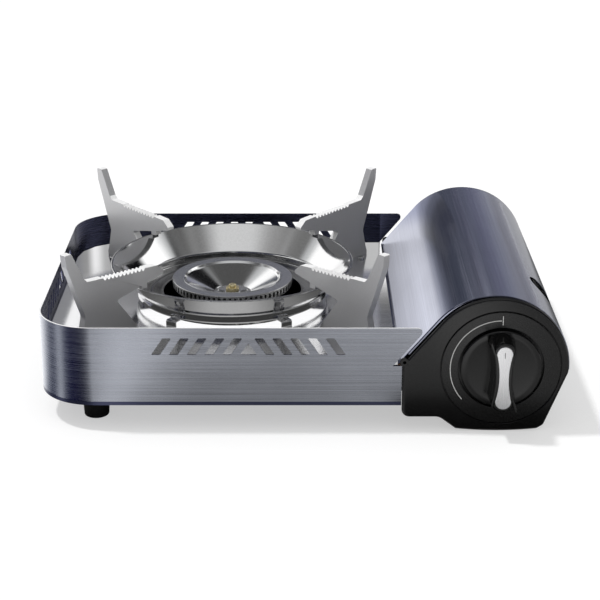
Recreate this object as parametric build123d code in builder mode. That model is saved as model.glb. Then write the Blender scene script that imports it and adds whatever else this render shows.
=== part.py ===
from build123d import *
from math import cos, radians, sin, sqrt, tan
import os

os.makedirs("parts", exist_ok=True)

# A tabletop butane stove: a brushed wrap with a bright drip tray and a round burner on the
# left, and a cartridge bay with a curved lid on the right. Millimetres, +Z up, the origin
# on the table at the centre of the whole stove, the knob towards -Y.

# ---------------------------------------------------------------- overall
tray_room = 235.0            # left wall to the right end of the straight walls
body_depth = 245.0           # front wall to back wall
knob_proud = 19.0            # front of the knob ahead of the front wall
end_proud = 2.0              # end housings ahead of and behind the walls

# ---------------------------------------------------------------- body wrap and base
sheet = 1.0                  # steel of the body, base and partition
corner_radius = 37.0         # outer plan radius of the left corners
base_height = 17.2           # underside of the base rim above the table
rim_height = 2.5             # rolled rim of the base, seen as a band under the wrap
rim_width = 1.6
wall_height = 50.6           # wrap above the rim
upstand_height = 8.0         # base flange spot-welded inside the wrap
vent_bottom = 32.4           # lower edge of the vent slots above the rim
vent_height = 11.3
vent_width = 5.6
vent_pitch = 11.3
vent_slant = 7.5             # sideways lean of a slot over its height
vent_count = 5               # slots on each side of the middle triangle
vent_offset = 62.0           # outer foot of the end slots from the middle of the row
vent_shift = 15.0            # middle of the front and back rows, right of the burner
air_hole_radius = 4.0
air_hole_pitch = 16.0

# ---------------------------------------------------------------- drip tray
tray_drop = 23.0             # tray surface below the top of the wrap
tray_sheet = 0.8
tray_gap = 0.2               # tray skirt to the wrap
tray_skirt = 7.0
tray_end_gap = 2.7           # tray short of the straight walls' end
tray_hole_radius = 58.0
tray_hole_lip = 3.0
tray_screw_radius = 124.0    # from the burner axis
tray_screw_turn = 3.6        # degrees in front of the pan arm
bracket_width = 12.0
bracket_sheet = 1.2

# ---------------------------------------------------------------- feet and screws
foot_inset_x = 35.9
foot_inset_y = 25.0
foot_radius = 9.0
foot_sole_radius = 8.1
foot_edge_radius = 1.5
screw_radius = 1.5
screw_head_radius = 2.8
screw_head_height = 1.6
screw_cross = 3.2            # cross recess, tip to tip
screw_cross_width = 0.8

# ---------------------------------------------------------------- burner, above the base sheet
burner_shift = 4.8           # burner axis right of the tray's middle
burner_back = 122.0          # burner axis behind the front wall
burner_top = 42.3            # top of the head above the base sheet
head_radius = 42.0
head_inner_radius = 34.5
head_plate = 1.5
head_edge_radius = 0.7
port_height = 3.5
port_depth = 3.0
port_width = 1.7
port_count = 72
flange_radius = 40.6
flange_sheet = 1.6
chamber_radius = 19.0        # lower gas chamber of the casting
casting_wall = 2.5
boss_wall = 2.0              # around the mixing tube
casting_ports = 6            # from the chamber up to the head
funnel_floor_drop = 12.0     # funnel floor below the top of the head
funnel_floor_radius = 13.0
funnel_sheet = 0.8
stud_radius = 2.5
stud_proud = 0.6
nut_flats = 10.0
nut_height = 4.2
washer_radius = 11.0
washer_sheet = 0.8
washer_petals = 3

# ---------------------------------------------------------------- gas and air mixer
tube_angle = -42.9           # from the burner towards the nozzle
tube_height = 14.3           # tube axis above the base sheet
tube_radius = 9.0
tube_wall = 1.2
tube_start = 15.0            # distances along the tube axis from the burner axis
tube_end = 100.0
tube_boss_end = 27.0
shutter_length = 14.0
window_length = 9.8
window_width = 6.3
shutter_closed = 0.6         # share of the air window that the shutter covers
nozzle_start = 104.0
nozzle_length = 16.0
nozzle_radius = 3.5
nozzle_hex = 5.25            # across the corners, halved
nozzle_hex_height = 4.0
jet_radius = 0.5
jet_length = 6.0
pipe_back = 32.0             # gas pipe behind the front wall
pipe_radius = 2.2
pipe_bend = 18.0
nozzle_plate_back = 5.0      # bracket plate behind the jet's tip
nozzle_plate_width = 24.0
burner_bridge = 60.0         # length of the bridge that carries the burner
burner_bridge_width = 24.0

# ---------------------------------------------------------------- pan support, above the tray
bowl_sheet = 0.8
bowl_floor = 4.3
bowl_shoulder = 10.2
bowl_rim = 27.3
bowl_hole_radius = 49.0
bowl_skirt_radius = 67.0
bowl_rim_radius = 83.6
bowl_lip = 0.5
bowl_bends = (1.4, 3.0, 1.0)
leg_angles = (58.0, 122.0, 238.0, 302.0)
leg_width = 8.0
leg_reach = 73.5
leg_sheet = 1.0
leg_tab_drop = 3.0           # top of the welded tab below the bowl's shoulder
arm_thickness = 5.5
arm_seat = 43.0              # pan level
arm_tip_radius = 65.3
arm_foot_outer = 136.1
arm_foot_length = 46.6
arm_fin_overhang = 9.4       # fin's top beyond the foot
arm_fin_height = 65.2
arm_fin_width = 5.0
arm_tooth_inset = 55.3       # inner end of the teeth, inside the foot's end
arm_tooth_pitch = 3.2
arm_tooth_count = 11
arm_tooth_depth = 1.6
arm_tooth_rise = 0.045       # rise of the toothed edge towards the fin, per mm
arm_level_inset = 20.3       # where the toothed edge reaches the pan level
arm_nib_inset = 4.1          # tip's underside inside the bowl's rim
arm_notch = (-7.1, 0.7)      # from the foot's end, and from the pan level
arm_notch_cut = 2.5
arm_foot_side = ((0.0, 2.4), (-1.5, 6.7), (-4.6, 20.0), (-0.4, 31.2))   # from the foot's end, the tray
arm_fin_side = (-0.8, -8.5)  # from the fin's tip
arm_tip = ((5.2, 0.0), (0.0, -4.6), (0.2, -9.0))   # from the tip, below its top
arm_nib_drop = 12.0          # tip's underside at the bowl below the pan level
arm_belly = ((0.0, -13.4), (20.7, -18.1))   # underside, from the bowl's edge and the pan level
arm_foot_rise = 3.6
arm_angles = {"back_right": 45.0, "back_left": 135.0, "front_left": 225.0, "front_right": 315.0}

# ---------------------------------------------------------------- cartridge bay and lid
bay_radius = 48.4            # outer radius of the lid
bay_height = 43.4            # its centre above the table
hinge_gap = 1.55             # hinge axis right of the straight walls' end
lid_slope = 50.0             # flat left side of the lid, degrees from level
lid_sheet = 0.8
lid_tail = 2.0               # straight edge below the arc, on the right
lid_foot = 3.9               # flat left side continued down past the hinge
lid_gap = 0.3                # lid to the inner face of the walls, each end
hem_width = 2.6
hem_sheet = 1.0
finger_back = 61.0           # finger hole behind the front wall
finger_rise = 39.0           # degrees above level, seen from the lid's centre
finger_radius = 11.7
hinge_height = 47.6
barrel_radius = 2.0
barrel_length = 9.0
hem_clear = 5.1              # hems cut back around the hinge axis
pin_radius = 1.1
pin_fit = 0.05
wall_to_lid = 1.6            # wrap's cut end to the lid's flat side

# ---------------------------------------------------------------- end housings
end_shift = 1.4              # right and up, from the lid's centre to the housing's
lid_overhang = 2.2           # lid's radius over the housing's
end_gap = 0.3                # housing to the straight walls' end
end_step = 9.6               # underside beside the sole
step_end = -35.5             # from the housing's axis, as are the next three
sole_start = -24.7
sole_end = 27.6
side_foot_out = 31.8
sole_rise = 1.4              # sole's ends above the table
side_foot_rise = 4.0
side_knee = 40.7
end_bends = (1.5, 5.0, 8.0)
side_bends = (4.0, 6.0)
end_inset = 2.6              # boxes inside the lid, from the outline
end_wall = 2.2
box_shoulder = 40.0          # below this the boxes have the full outline
hinge_clear = 3.7            # boxes clear of the lid's barrel
face_wall = 5.0              # front face thickness
front_box_depth = 42.0
rear_box_depth = 12.0
pin_lobe_radius = 3.0
boss_radius = 3.6
boss_offsets = ((-46.0, 15.2), (-30.0, 66.0), (33.0, 62.0), (28.0, 12.0))   # from the axis, from the table
boss_depth = 4.0             # screw ends short of the front face
trough_sheet = 1.0
trough_inset = 0.6
trough_top = 43.0

# ---------------------------------------------------------------- dial and knob
dial_shift = (3.0, -1.1)     # from the housing's axis
dial_radius = 38.0
dial_gap = 0.6
dial_sheet = 1.6
knob_radius = 26.0
knob_gap = 1.4
knob_recess = 1.8            # knob pocket below the dial's seat
knob_clear = 0.6
knob_rim = 1.8               # rim ahead of the dial
knob_dish = 1.6
knob_land = 2.6              # flat land of the rim
knob_round = 0.8
hub_radius = 7.0
hub_length = 7.0
grip_length = 49.6
grip_end_radius = 8.6
grip_waist = 6.9
grip_taper = 5.5
insert_length = 42.3
insert_end_radius = 5.15
insert_waist = 3.4
insert_depth = 1.2
insert_proud = 0.3
insert_fit = 0.05
spindle_radius = 3.0
spindle_fit = 0.05
cam_radius = 11.0
cam_reach = 29.0
cam_width = 7.0
cam_sheet = 3.0
cam_rest_angle = 140.0       # turns to 270 degrees, over the igniter, at full travel

# ---------------------------------------------------------------- regulator, igniter, seat
regulator_width = 34.0
regulator_height = 30.0
regulator_round = 3.0
regulator_front = 20.0       # behind the front wall
neck_radius = 9.0
neck_length = 7.0
cap_radius = 10.8
cap_thickness = 6.0
cap_round = 1.5
cap_screw_in = 4.0           # screw axes inside the cap's edge
cap_screw_head = 2.1
cap_screw_height = 1.2
igniter_size = 12.0
igniter_round = 1.5
igniter_drop = 25.5          # igniter axis below the dial's axis
igniter_front = 16.0
plunger_radius = 3.0
plunger_clear = 0.6
lead_radius = 1.2
lead_back = 18.0             # lead's straight run behind the front wall
lead_turn_x = 57.0           # end of the straight run, from the burner axis
lead_run_in = (20.0, -8.0)   # last bend, from the electrode
lead_bends = (24.0, 12.0, 3.0)
electrode_dx = 6.0
electrode_dy = -44.0
ceramic_radius = 2.2
ceramic_bottom = 5.0
ceramic_top = 34.3
wire_radius = 0.6
wire_peak = 6.3
wire_lean = 2.6
wire_bend = 1.0
clip_margin = 1.5            # bracket beyond the ceramic, all round
clip_heel_back = 12.0        # bracket's upright from the ceramic's axis
clip_toe = 8.0
bulkhead_sheet = 1.2
seat_radius = 22.0
seat_bore_radius = 17.5
seat_bore_depth = 4.0
seat_floor = 1.5
magnet_radius = 28.0
magnet_thickness = 4.0
seal_radius = 5.0
seal_bore = 2.5
cartridge_radius = 34.0
cartridge_clear = 0.4
cradle_height = 22.0
cradle_width = 4.0
cradle_half_span = 24.0
cradle_front = 80.0
cradle_back = 195.0
heat_sheet = 1.0
heat_width = 16.0
heat_back = 160.0
heat_level = 8.0
heat_start = 50.0            # ends of the flat foot, from the burner axis
heat_rise = 64.0
heat_gap = 4.0               # to the cartridge
heat_tongue = 7.5
heat_bend = 2.0
through_gap = 0.6            # around pipes and leads where they pass a wall

# ---------------------------------------------------------------- places worked out from the sizes
slope_x = -sin(radians(lid_slope))
slope_z = cos(radians(lid_slope))
hinge_reach = (bay_radius - barrel_radius - slope_z * (hinge_height - bay_height)) / -slope_x
body_width = tray_room + hinge_gap + hinge_reach + bay_radius
x_left = -body_width / 2
x_right = body_width / 2
y_front = -(body_depth + knob_proud + end_proud) / 2 + knob_proud
y_back = y_front + body_depth
wall_end = x_left + tray_room
tray_right = wall_end - tray_end_gap
shell_bottom = base_height + rim_height
shell_top = shell_bottom + wall_height
tray_level = shell_top - tray_drop
tray_under = tray_level - tray_sheet
burner_x = x_left + tray_room / 2 + burner_shift
burner_y = y_front + burner_back
head_top = shell_bottom + burner_top
head_bottom = head_top - head_plate - port_height
funnel_floor = head_top - funnel_floor_drop
tube_level = shell_bottom + tube_height
casting_bottom = tube_level - tube_radius - casting_wall
bay_x = x_right - bay_radius
hinge_x = bay_x - hinge_reach
end_x = bay_x + end_shift
end_height = bay_height + end_shift
end_radius = bay_radius - lid_overhang
end_left = wall_end + end_gap
dial_x = end_x + dial_shift[0]
dial_height = end_height + dial_shift[1]
y_face = y_front - end_proud
y_rear = y_back + end_proud
y_box = y_front + front_box_depth
y_rear_box = y_back - rear_box_depth
y_dial_seat = y_face + dial_sheet
y_knob_floor = y_dial_seat + knob_recess
y_bulkhead = y_box + bulkhead_sheet
bowl_rim_level = tray_level + bowl_rim
bowl_floor_level = tray_level + bowl_floor
pipe_y = y_front + pipe_back


def front_plane(y):
    """Vertical plane at y: local x is +X, local y is +Z, extruding towards the front."""
    return Plane(origin=(0, y, 0), x_dir=(1, 0, 0), z_dir=(0, -1, 0))


def side_plane(angle):
    """Vertical plane through the burner axis: local x is outwards at the angle, local y +Z."""
    turn = radians(angle)
    return Plane(origin=(burner_x, burner_y, 0), x_dir=(cos(turn), sin(turn), 0),
                 z_dir=(sin(turn), -cos(turn), 0))


def tube_plane(distance):
    """Plane across the mixing tube, looking from the burner to the nozzle."""
    turn = radians(tube_angle)
    return Plane(origin=(burner_x + distance * cos(turn), burner_y + distance * sin(turn), tube_level),
                 x_dir=(-sin(turn), cos(turn), 0), z_dir=(cos(turn), sin(turn), 0))


def footprint(inset, right_end):
    """The body's plan with its two round left corners, drawn inside the outer skin."""
    left, front, back = x_left + inset, y_front + inset, y_back - inset
    with BuildSketch() as plan:
        with BuildLine():
            FilletPolyline((right_end, front), (left, front), (left, back), (right_end, back),
                           radius=corner_radius - inset)
            Line((right_end, back), (right_end, front))
        make_face()
    return plan.sketch


def bent_sheet(points, thickness, bend, side=Side.LEFT):
    """The section of a sheet bent along the points and thickened to one side."""
    with BuildSketch() as section:
        with BuildLine():
            FilletPolyline(*points, radius=bend)
            offset(amount=thickness, side=side)
        make_face()
    return section.sketch


def vent_row(middle, bottom):
    """A row of slots leaning towards a small triangle in the middle."""
    half = vent_offset - vent_count * vent_pitch
    with BuildSketch() as row:
        for side in (-1, 1):
            for index in range(vent_count):
                foot = vent_offset - index * vent_pitch
                Polygon((middle + side * foot, bottom),
                        (middle + side * (foot - vent_width), bottom),
                        (middle + side * (foot - vent_width - vent_slant), bottom + vent_height),
                        (middle + side * (foot - vent_slant), bottom + vent_height), align=None)
        Polygon((middle - half, bottom), (middle + half, bottom),
                (middle, bottom + half * vent_height / vent_slant), align=None)
    return row.sketch


def end_outline():
    """The end housings' outline: round over the lid, sloped left side, step and sole."""
    slope = radians(lid_slope)
    tangent_x = end_x - end_radius * sin(slope)
    tangent_z = end_height + end_radius * cos(slope)
    slope_end = tangent_z - (tangent_x - end_left) * tan(slope)
    with BuildSketch() as outline:
        with BuildLine():
            crown = CenterArc((end_x, end_height), end_radius, 0, 90 + lid_slope)
            left = FilletPolyline(crown @ 1, (end_left, slope_end), (end_left, end_step),
                                  (end_x + step_end, end_step), (end_x + sole_start, sole_rise),
                                  radius=end_bends)
            sole = ThreePointArc(left @ 1, (end_x + (sole_start + sole_end) / 2, 0),
                                 (end_x + sole_end, sole_rise))
            FilletPolyline(sole @ 1, (end_x + side_foot_out, side_foot_rise),
                           (end_x + end_radius, side_knee), crown @ 0, radius=side_bends)
        make_face()
    return outline.sketch


def inner_outline(inset):
    """The end outline drawn smaller all round."""
    with BuildSketch() as outline:
        add(end_outline())
        offset(amount=-inset, mode=Mode.REPLACE)
    return outline.sketch


def box_outline():
    """The boxes' outline: full below the shoulder, and clear of lid and barrel above it."""
    with BuildSketch() as outline:
        add(inner_outline(end_inset))
        with Locations((hinge_x + hinge_clear, box_shoulder)):
            Rectangle(bay_radius, bay_radius, align=(Align.MAX, Align.MIN), mode=Mode.SUBTRACT)
        add(lower_outline(box_shoulder))
    return outline.sketch


def lower_outline(level):
    """The end outline below a level."""
    with BuildSketch() as outline:
        add(end_outline())
        with Locations((end_x, level)):
            Rectangle(2 * end_radius + bay_radius, 2 * bay_radius, align=(Align.CENTER, Align.MIN),
                      mode=Mode.SUBTRACT)
    return outline.sketch


def dog_bone(length, end_radius, waist):
    """Two round ends joined by hollow sides that meet them smoothly, long along local y."""
    centre = length / 2 - end_radius
    narrowing = end_radius - waist
    hollow = (centre ** 2 - narrowing ** 2) / (2 * narrowing)
    reach = sqrt(hollow ** 2 + centre ** 2)
    touch_x = end_radius * hollow / reach
    touch_y = centre - end_radius * centre / reach
    with BuildSketch() as bone:
        with BuildLine():
            ThreePointArc((-touch_x, touch_y), (0, length / 2), (touch_x, touch_y))
            ThreePointArc((touch_x, touch_y), (waist, 0), (touch_x, -touch_y))
            ThreePointArc((touch_x, -touch_y), (0, -length / 2), (-touch_x, -touch_y))
            ThreePointArc((-touch_x, -touch_y), (-waist, 0), (-touch_x, touch_y))
        make_face()
    return bone.sketch


# ================================================================ body
vent_level = shell_bottom + vent_bottom
slope_run = 1 / tan(radians(lid_slope))
end_line_x = bay_x + (bay_radius + wall_to_lid) * slope_x
end_line_z = bay_height + (bay_radius + wall_to_lid) * slope_z
notch_level = hinge_height - pin_lobe_radius - tray_gap
notch_x = end_line_x - (end_line_z - notch_level) * slope_run
shell_end_x = end_line_x - (end_line_z - shell_top) * slope_run

with BuildPart() as body_shell:
    with BuildSketch(Plane.XY.offset(shell_bottom)):
        add(footprint(0, x_right))
        add(footprint(sheet, x_right + 1), mode=Mode.SUBTRACT)
    extrude(amount=wall_height)
    with BuildSketch(front_plane(y_back)):
        Polygon((wall_end, shell_bottom), (wall_end, notch_level), (notch_x, notch_level),
                (shell_end_x, shell_top), (x_right, shell_top), (x_right, shell_bottom), align=None)
    extrude(amount=body_depth, mode=Mode.SUBTRACT)
    with BuildSketch(front_plane(y_back)):
        add(vent_row(burner_x + vent_shift, vent_level))
    extrude(amount=body_depth, mode=Mode.SUBTRACT)
    with BuildSketch(Plane.YZ.offset(x_left)):
        add(vent_row(burner_y, vent_level))
    extrude(amount=sheet, mode=Mode.SUBTRACT)
    end_corners = body_shell.edges().filter_by(Axis.Y).group_by(Axis.Z)[-1].sort_by(Axis.X)[-2:]
    fillet(end_corners, radius=3 * sheet)
body_shell.part.label = "body_shell"
export_step(body_shell.part, "parts/body_shell.step")

with BuildPart() as base_pan:
    with BuildSketch(Plane.XY.offset(base_height)):
        add(footprint(0, wall_end))
        add(footprint(rim_width, wall_end - rim_width), mode=Mode.SUBTRACT)
    extrude(amount=rim_height)
    with BuildSketch(Plane.XY.offset(shell_bottom - sheet)):
        add(footprint(rim_width / 2, wall_end))
    extrude(amount=sheet)
    with BuildSketch(Plane.XY.offset(shell_bottom)):
        add(footprint(sheet, wall_end - sheet))
        add(footprint(2 * sheet, wall_end), mode=Mode.SUBTRACT)
    extrude(amount=upstand_height)
    with Locations((burner_x, burner_y, shell_bottom)):
        with GridLocations(air_hole_pitch, 5 * air_hole_pitch, 7, 2):
            Hole(radius=air_hole_radius, depth=sheet)
    foot_places = [(x_left + foot_inset_x, y_front + foot_inset_y, shell_bottom),
                   (x_left + foot_inset_x, y_back - foot_inset_y, shell_bottom)]
    with Locations(*foot_places):
        Hole(radius=screw_radius, depth=sheet)
base_pan.part.label = "base_pan"
export_step(base_pan.part, "parts/base_pan.step")

screw_turns = [angle - tray_screw_turn if "right" in side else angle + tray_screw_turn
               for side, angle in arm_angles.items()]
screw_places = [(burner_x + tray_screw_radius * cos(radians(a)),
                 burner_y + tray_screw_radius * sin(radians(a))) for a in screw_turns]

with BuildPart() as drip_tray:
    with BuildSketch(Plane.XY.offset(tray_under)):
        add(footprint(sheet + tray_gap, tray_right))
    extrude(amount=tray_sheet)
    with BuildSketch(Plane.XY.offset(tray_level - tray_skirt)):
        add(footprint(sheet + tray_gap, tray_right))
        add(footprint(sheet + tray_gap + tray_sheet, tray_right - tray_sheet), mode=Mode.SUBTRACT)
    extrude(amount=tray_skirt)
    with BuildSketch(Plane.XY.offset(tray_level - tray_hole_lip)):
        with Locations((burner_x, burner_y)):
            Circle(tray_hole_radius + tray_sheet)
    extrude(amount=tray_hole_lip)
    with BuildSketch(Plane.XY.offset(tray_level)):
        with Locations((burner_x, burner_y)):
            Circle(tray_hole_radius)
        with Locations(*screw_places):
            Circle(screw_radius)
    extrude(amount=-tray_skirt, mode=Mode.SUBTRACT)
drip_tray.part.label = "drip_tray"
export_step(drip_tray.part, "parts/drip_tray.step")

partition_x = tray_right - tray_sheet - sheet
lead_level = shell_bottom + lead_radius
lead_y = y_front + lead_back
heat_y = y_front + heat_back
heat_z = shell_bottom + heat_level
passage_holes = [(pipe_y, tube_level, pipe_radius + through_gap),
                   (lead_y, lead_level, lead_radius + through_gap)]

with BuildPart() as partition:
    with BuildSketch(Plane.YZ.offset(partition_x)):
        with Locations(((y_front + y_back) / 2, shell_bottom)):
            Rectangle(body_depth - 4 * sheet, tray_under - shell_bottom, align=(Align.CENTER, Align.MIN))
        for hole_y, hole_z, hole_radius in passage_holes:
            with Locations((hole_y, hole_z)):
                Circle(hole_radius, mode=Mode.SUBTRACT)
        with Locations((heat_y, heat_z)):
            Rectangle(heat_width + 2 * through_gap, heat_sheet + 2 * through_gap, mode=Mode.SUBTRACT)
    extrude(amount=sheet)
partition.part.label = "partition"
export_step(partition.part, "parts/partition.step")

with BuildPart() as tray_brackets:
    for place_x, place_y in screw_places:
        with BuildSketch(front_plane(place_y + bracket_width / 2)):
            left, right = place_x - bracket_width / 2, place_x + bracket_width / 2
            with BuildLine():
                Polyline((left, shell_bottom), (right, shell_bottom), (right, shell_bottom + bracket_sheet),
                         (left + bracket_sheet, shell_bottom + bracket_sheet),
                         (left + bracket_sheet, tray_under - bracket_sheet),
                         (right, tray_under - bracket_sheet), (right, tray_under), (left, tray_under),
                         close=True)
            make_face()
        extrude(amount=bracket_width)
    with BuildSketch(Plane.XY.offset(tray_under)):
        with Locations(*screw_places):
            Circle(screw_radius)
    extrude(amount=-bracket_sheet, mode=Mode.SUBTRACT)
tray_brackets.part.label = "tray_brackets"
export_step(tray_brackets.part, "parts/tray_brackets.step")

with BuildPart() as tray_screws:
    with BuildSketch(Plane.XY.offset(tray_level)):
        with Locations(*screw_places):
            Circle(screw_head_radius)
    extrude(amount=screw_head_height)
    fillet(tray_screws.edges().group_by(Axis.Z)[-1], radius=0.6)
    with BuildSketch(Plane.XY.offset(tray_level)):
        with Locations(*screw_places):
            Circle(screw_radius)
    extrude(amount=-tray_skirt)
    with BuildSketch(Plane.XY.offset(tray_level + screw_head_height)):
        with Locations(*screw_places):
            Rectangle(screw_cross, screw_cross_width)
            Rectangle(screw_cross_width, screw_cross)
    extrude(amount=-screw_cross_width, mode=Mode.SUBTRACT)
tray_screws.part.label = "tray_screws"
export_step(tray_screws.part, "parts/tray_screws.step")

foot_top = shell_bottom - sheet
foot_centres = [(x, y) for x, y, z in foot_places]

with BuildPart() as rubber_feet:
    for foot_centre in foot_centres:
        with BuildSketch(Plane.XY):
            with Locations(foot_centre):
                Circle(foot_sole_radius)
        with BuildSketch(Plane.XY.offset(foot_top)):
            with Locations(foot_centre):
                Circle(foot_radius)
        loft()
    fillet(rubber_feet.edges().group_by(Axis.Z)[0], radius=foot_edge_radius)
    with Locations(*[(x, y, 0) for x, y in foot_centres]):
        CounterBoreHole(radius=screw_radius, counter_bore_radius=screw_head_radius + 0.4,
                        counter_bore_depth=foot_top / 2, depth=foot_top, mode=Mode.SUBTRACT)
rubber_feet.part.label = "rubber_feet"
export_step(rubber_feet.part, "parts/rubber_feet.step")

# ================================================================ burner
burner_axis = Axis((burner_x, burner_y, 0), (0, 0, 1))
across = side_plane(0)
flange_top = head_bottom
flange_bottom = flange_top - flange_sheet
throat_radius = funnel_floor_radius + casting_wall

with BuildPart() as burner_head:
    with BuildSketch(across):
        with Locations(((head_inner_radius + head_radius) / 2, head_bottom)):
            Rectangle(head_radius - head_inner_radius, head_top - head_bottom,
                      align=(Align.CENTER, Align.MIN))
    revolve(axis=burner_axis)
    fillet(burner_head.edges().group_by(Axis.Z)[-1], radius=head_edge_radius)
    with BuildSketch(Plane.XY.offset(head_bottom)):
        with Locations((burner_x, burner_y)):
            with PolarLocations(head_radius - port_depth / 2, port_count):
                Rectangle(port_depth + flange_sheet, port_width)
    extrude(amount=port_height, mode=Mode.SUBTRACT)
burner_head.part.label = "burner_head"
export_step(burner_head.part, "parts/burner_head.step")

with BuildPart() as burner_funnel:
    with BuildSketch(across):
        with BuildLine():
            Polyline((stud_radius, funnel_floor), (funnel_floor_radius, funnel_floor),
                     (head_inner_radius, head_top - head_plate), (head_inner_radius, head_top),
                     (head_inner_radius - funnel_sheet, head_top),
                     (head_inner_radius - funnel_sheet, head_top - head_plate + funnel_sheet / 3),
                     (funnel_floor_radius - funnel_sheet / 2, funnel_floor + funnel_sheet),
                     (stud_radius, funnel_floor + funnel_sheet), close=True)
        make_face()
    revolve(axis=burner_axis)
burner_funnel.part.label = "burner_funnel"
export_step(burner_funnel.part, "parts/burner_funnel.step")

with BuildPart() as burner_body:
    with BuildSketch(across):
        with BuildLine():
            Polyline((0, casting_bottom), (chamber_radius, casting_bottom),
                     (chamber_radius, tube_level + tube_radius), (flange_radius, flange_bottom),
                     (flange_radius, flange_top), (head_inner_radius + flange_sheet, flange_top),
                     (throat_radius, funnel_floor - casting_wall), (0, funnel_floor - casting_wall),
                     close=True)
        make_face()
    revolve(axis=burner_axis)
    with BuildSketch(tube_plane(0)):
        Circle(tube_radius + boss_wall)
    extrude(amount=tube_boss_end)
    with BuildSketch(across):
        with BuildLine():
            Polyline((0, casting_bottom + casting_wall),
                     (chamber_radius - casting_wall, casting_bottom + casting_wall),
                     (chamber_radius - casting_wall, tube_level + casting_wall),
                     (0, tube_level + casting_wall), close=True)
        make_face()
    revolve(axis=burner_axis, mode=Mode.SUBTRACT)
    with BuildSketch(tube_plane(tube_start)):
        Circle(tube_radius)
    extrude(amount=tube_boss_end, mode=Mode.SUBTRACT)
    with BuildSketch(Plane.XY.offset(casting_bottom + casting_wall)):
        with Locations((burner_x, burner_y)):
            with PolarLocations(chamber_radius - casting_wall - boss_wall, casting_ports):
                Circle(casting_wall)
    extrude(amount=tube_radius + casting_wall, mode=Mode.SUBTRACT)
burner_body.part.label = "burner_body"
export_step(burner_body.part, "parts/burner_body.step")

with BuildPart() as burner_stud:
    with BuildSketch(Plane.XY.offset(funnel_floor - casting_wall)):
        with Locations((burner_x, burner_y)):
            Circle(stud_radius)
    extrude(amount=casting_wall + funnel_sheet + washer_sheet + nut_height + stud_proud)
    chamfer(burner_stud.edges().group_by(Axis.Z)[-1], length=0.4)
burner_stud.part.label = "burner_stud"
export_step(burner_stud.part, "parts/burner_stud.step")

washer_level = funnel_floor + funnel_sheet
nut_level = washer_level + washer_sheet

with BuildPart() as burner_washer:
    with BuildSketch(Plane.XY.offset(washer_level)):
        with Locations((burner_x, burner_y)):
            Circle(washer_radius / 2)
            with PolarLocations(washer_radius / 2, washer_petals, start_angle=30):
                SlotCenterToCenter(washer_radius / 2, washer_radius / 1.6)
            Circle(stud_radius, mode=Mode.SUBTRACT)
    extrude(amount=washer_sheet)
burner_washer.part.label = "burner_washer"
export_step(burner_washer.part, "parts/burner_washer.step")

with BuildPart() as burner_nut:
    with BuildSketch(Plane.XY.offset(nut_level)):
        with Locations((burner_x, burner_y)):
            RegularPolygon(nut_flats / 2, 6, major_radius=False)
            Circle(stud_radius, mode=Mode.SUBTRACT)
    extrude(amount=nut_height)
    chamfer(burner_nut.edges().group_by(Axis.Z)[-1].filter_by(GeomType.LINE), length=0.5)
burner_nut.part.label = "burner_nut"
export_step(burner_nut.part, "parts/burner_nut.step")

bridge_top = casting_bottom

with BuildPart() as burner_bracket:
    with BuildSketch(front_plane(burner_y + burner_bridge_width / 2)):
        half = burner_bridge / 2
        toe = half + bracket_width
        with BuildLine():
            Polyline((burner_x - toe, shell_bottom), (burner_x - half + bracket_sheet, shell_bottom),
                     (burner_x - half + bracket_sheet, bridge_top - bracket_sheet),
                     (burner_x + half - bracket_sheet, bridge_top - bracket_sheet),
                     (burner_x + half - bracket_sheet, shell_bottom), (burner_x + toe, shell_bottom),
                     (burner_x + toe, shell_bottom + bracket_sheet),
                     (burner_x + half, shell_bottom + bracket_sheet), (burner_x + half, bridge_top),
                     (burner_x - half, bridge_top), (burner_x - half, shell_bottom + bracket_sheet),
                     (burner_x - toe, shell_bottom + bracket_sheet), close=True)
        make_face()
    extrude(amount=burner_bridge_width)
burner_bracket.part.label = "burner_bracket"
export_step(burner_bracket.part, "parts/burner_bracket.step")

bridge_screw_places = [(burner_x + side * (half + bracket_width / 2), burner_y) for side in (-1, 1)]

with BuildPart() as burner_screws:
    with BuildSketch(Plane.XY.offset(shell_bottom + bracket_sheet)):
        with Locations(*bridge_screw_places):
            Circle(screw_head_radius)
    extrude(amount=screw_head_height)
burner_screws.part.label = "burner_screws"
export_step(burner_screws.part, "parts/burner_screws.step")

# ================================================================ mixer and gas path
with BuildPart() as mixing_tube:
    with BuildSketch(tube_plane(tube_start)):
        Circle(tube_radius)
        Circle(tube_radius - tube_wall, mode=Mode.SUBTRACT)
    extrude(amount=tube_end - tube_start)
    window_middle = tube_end - shutter_length / 2
    turn = radians(tube_angle)
    with BuildSketch(Plane.XY.offset(tube_level)):
        with Locations(Location((burner_x + window_middle * cos(turn), burner_y + window_middle * sin(turn)),
                                tube_angle)):
            SlotOverall(window_length, window_width)
    extrude(amount=tube_radius + tube_wall, mode=Mode.SUBTRACT)
mixing_tube.part.label = "mixing_tube"
export_step(mixing_tube.part, "parts/mixing_tube.step")

with BuildPart() as air_shutter:
    with BuildSketch(tube_plane(tube_end - shutter_length)):
        Circle(tube_radius + tube_wall)
        Circle(tube_radius, mode=Mode.SUBTRACT)
    extrude(amount=shutter_length * shutter_closed)
air_shutter.part.label = "air_shutter"
export_step(air_shutter.part, "parts/air_shutter.step")

nozzle_plate_at = nozzle_start + nozzle_plate_back

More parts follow.
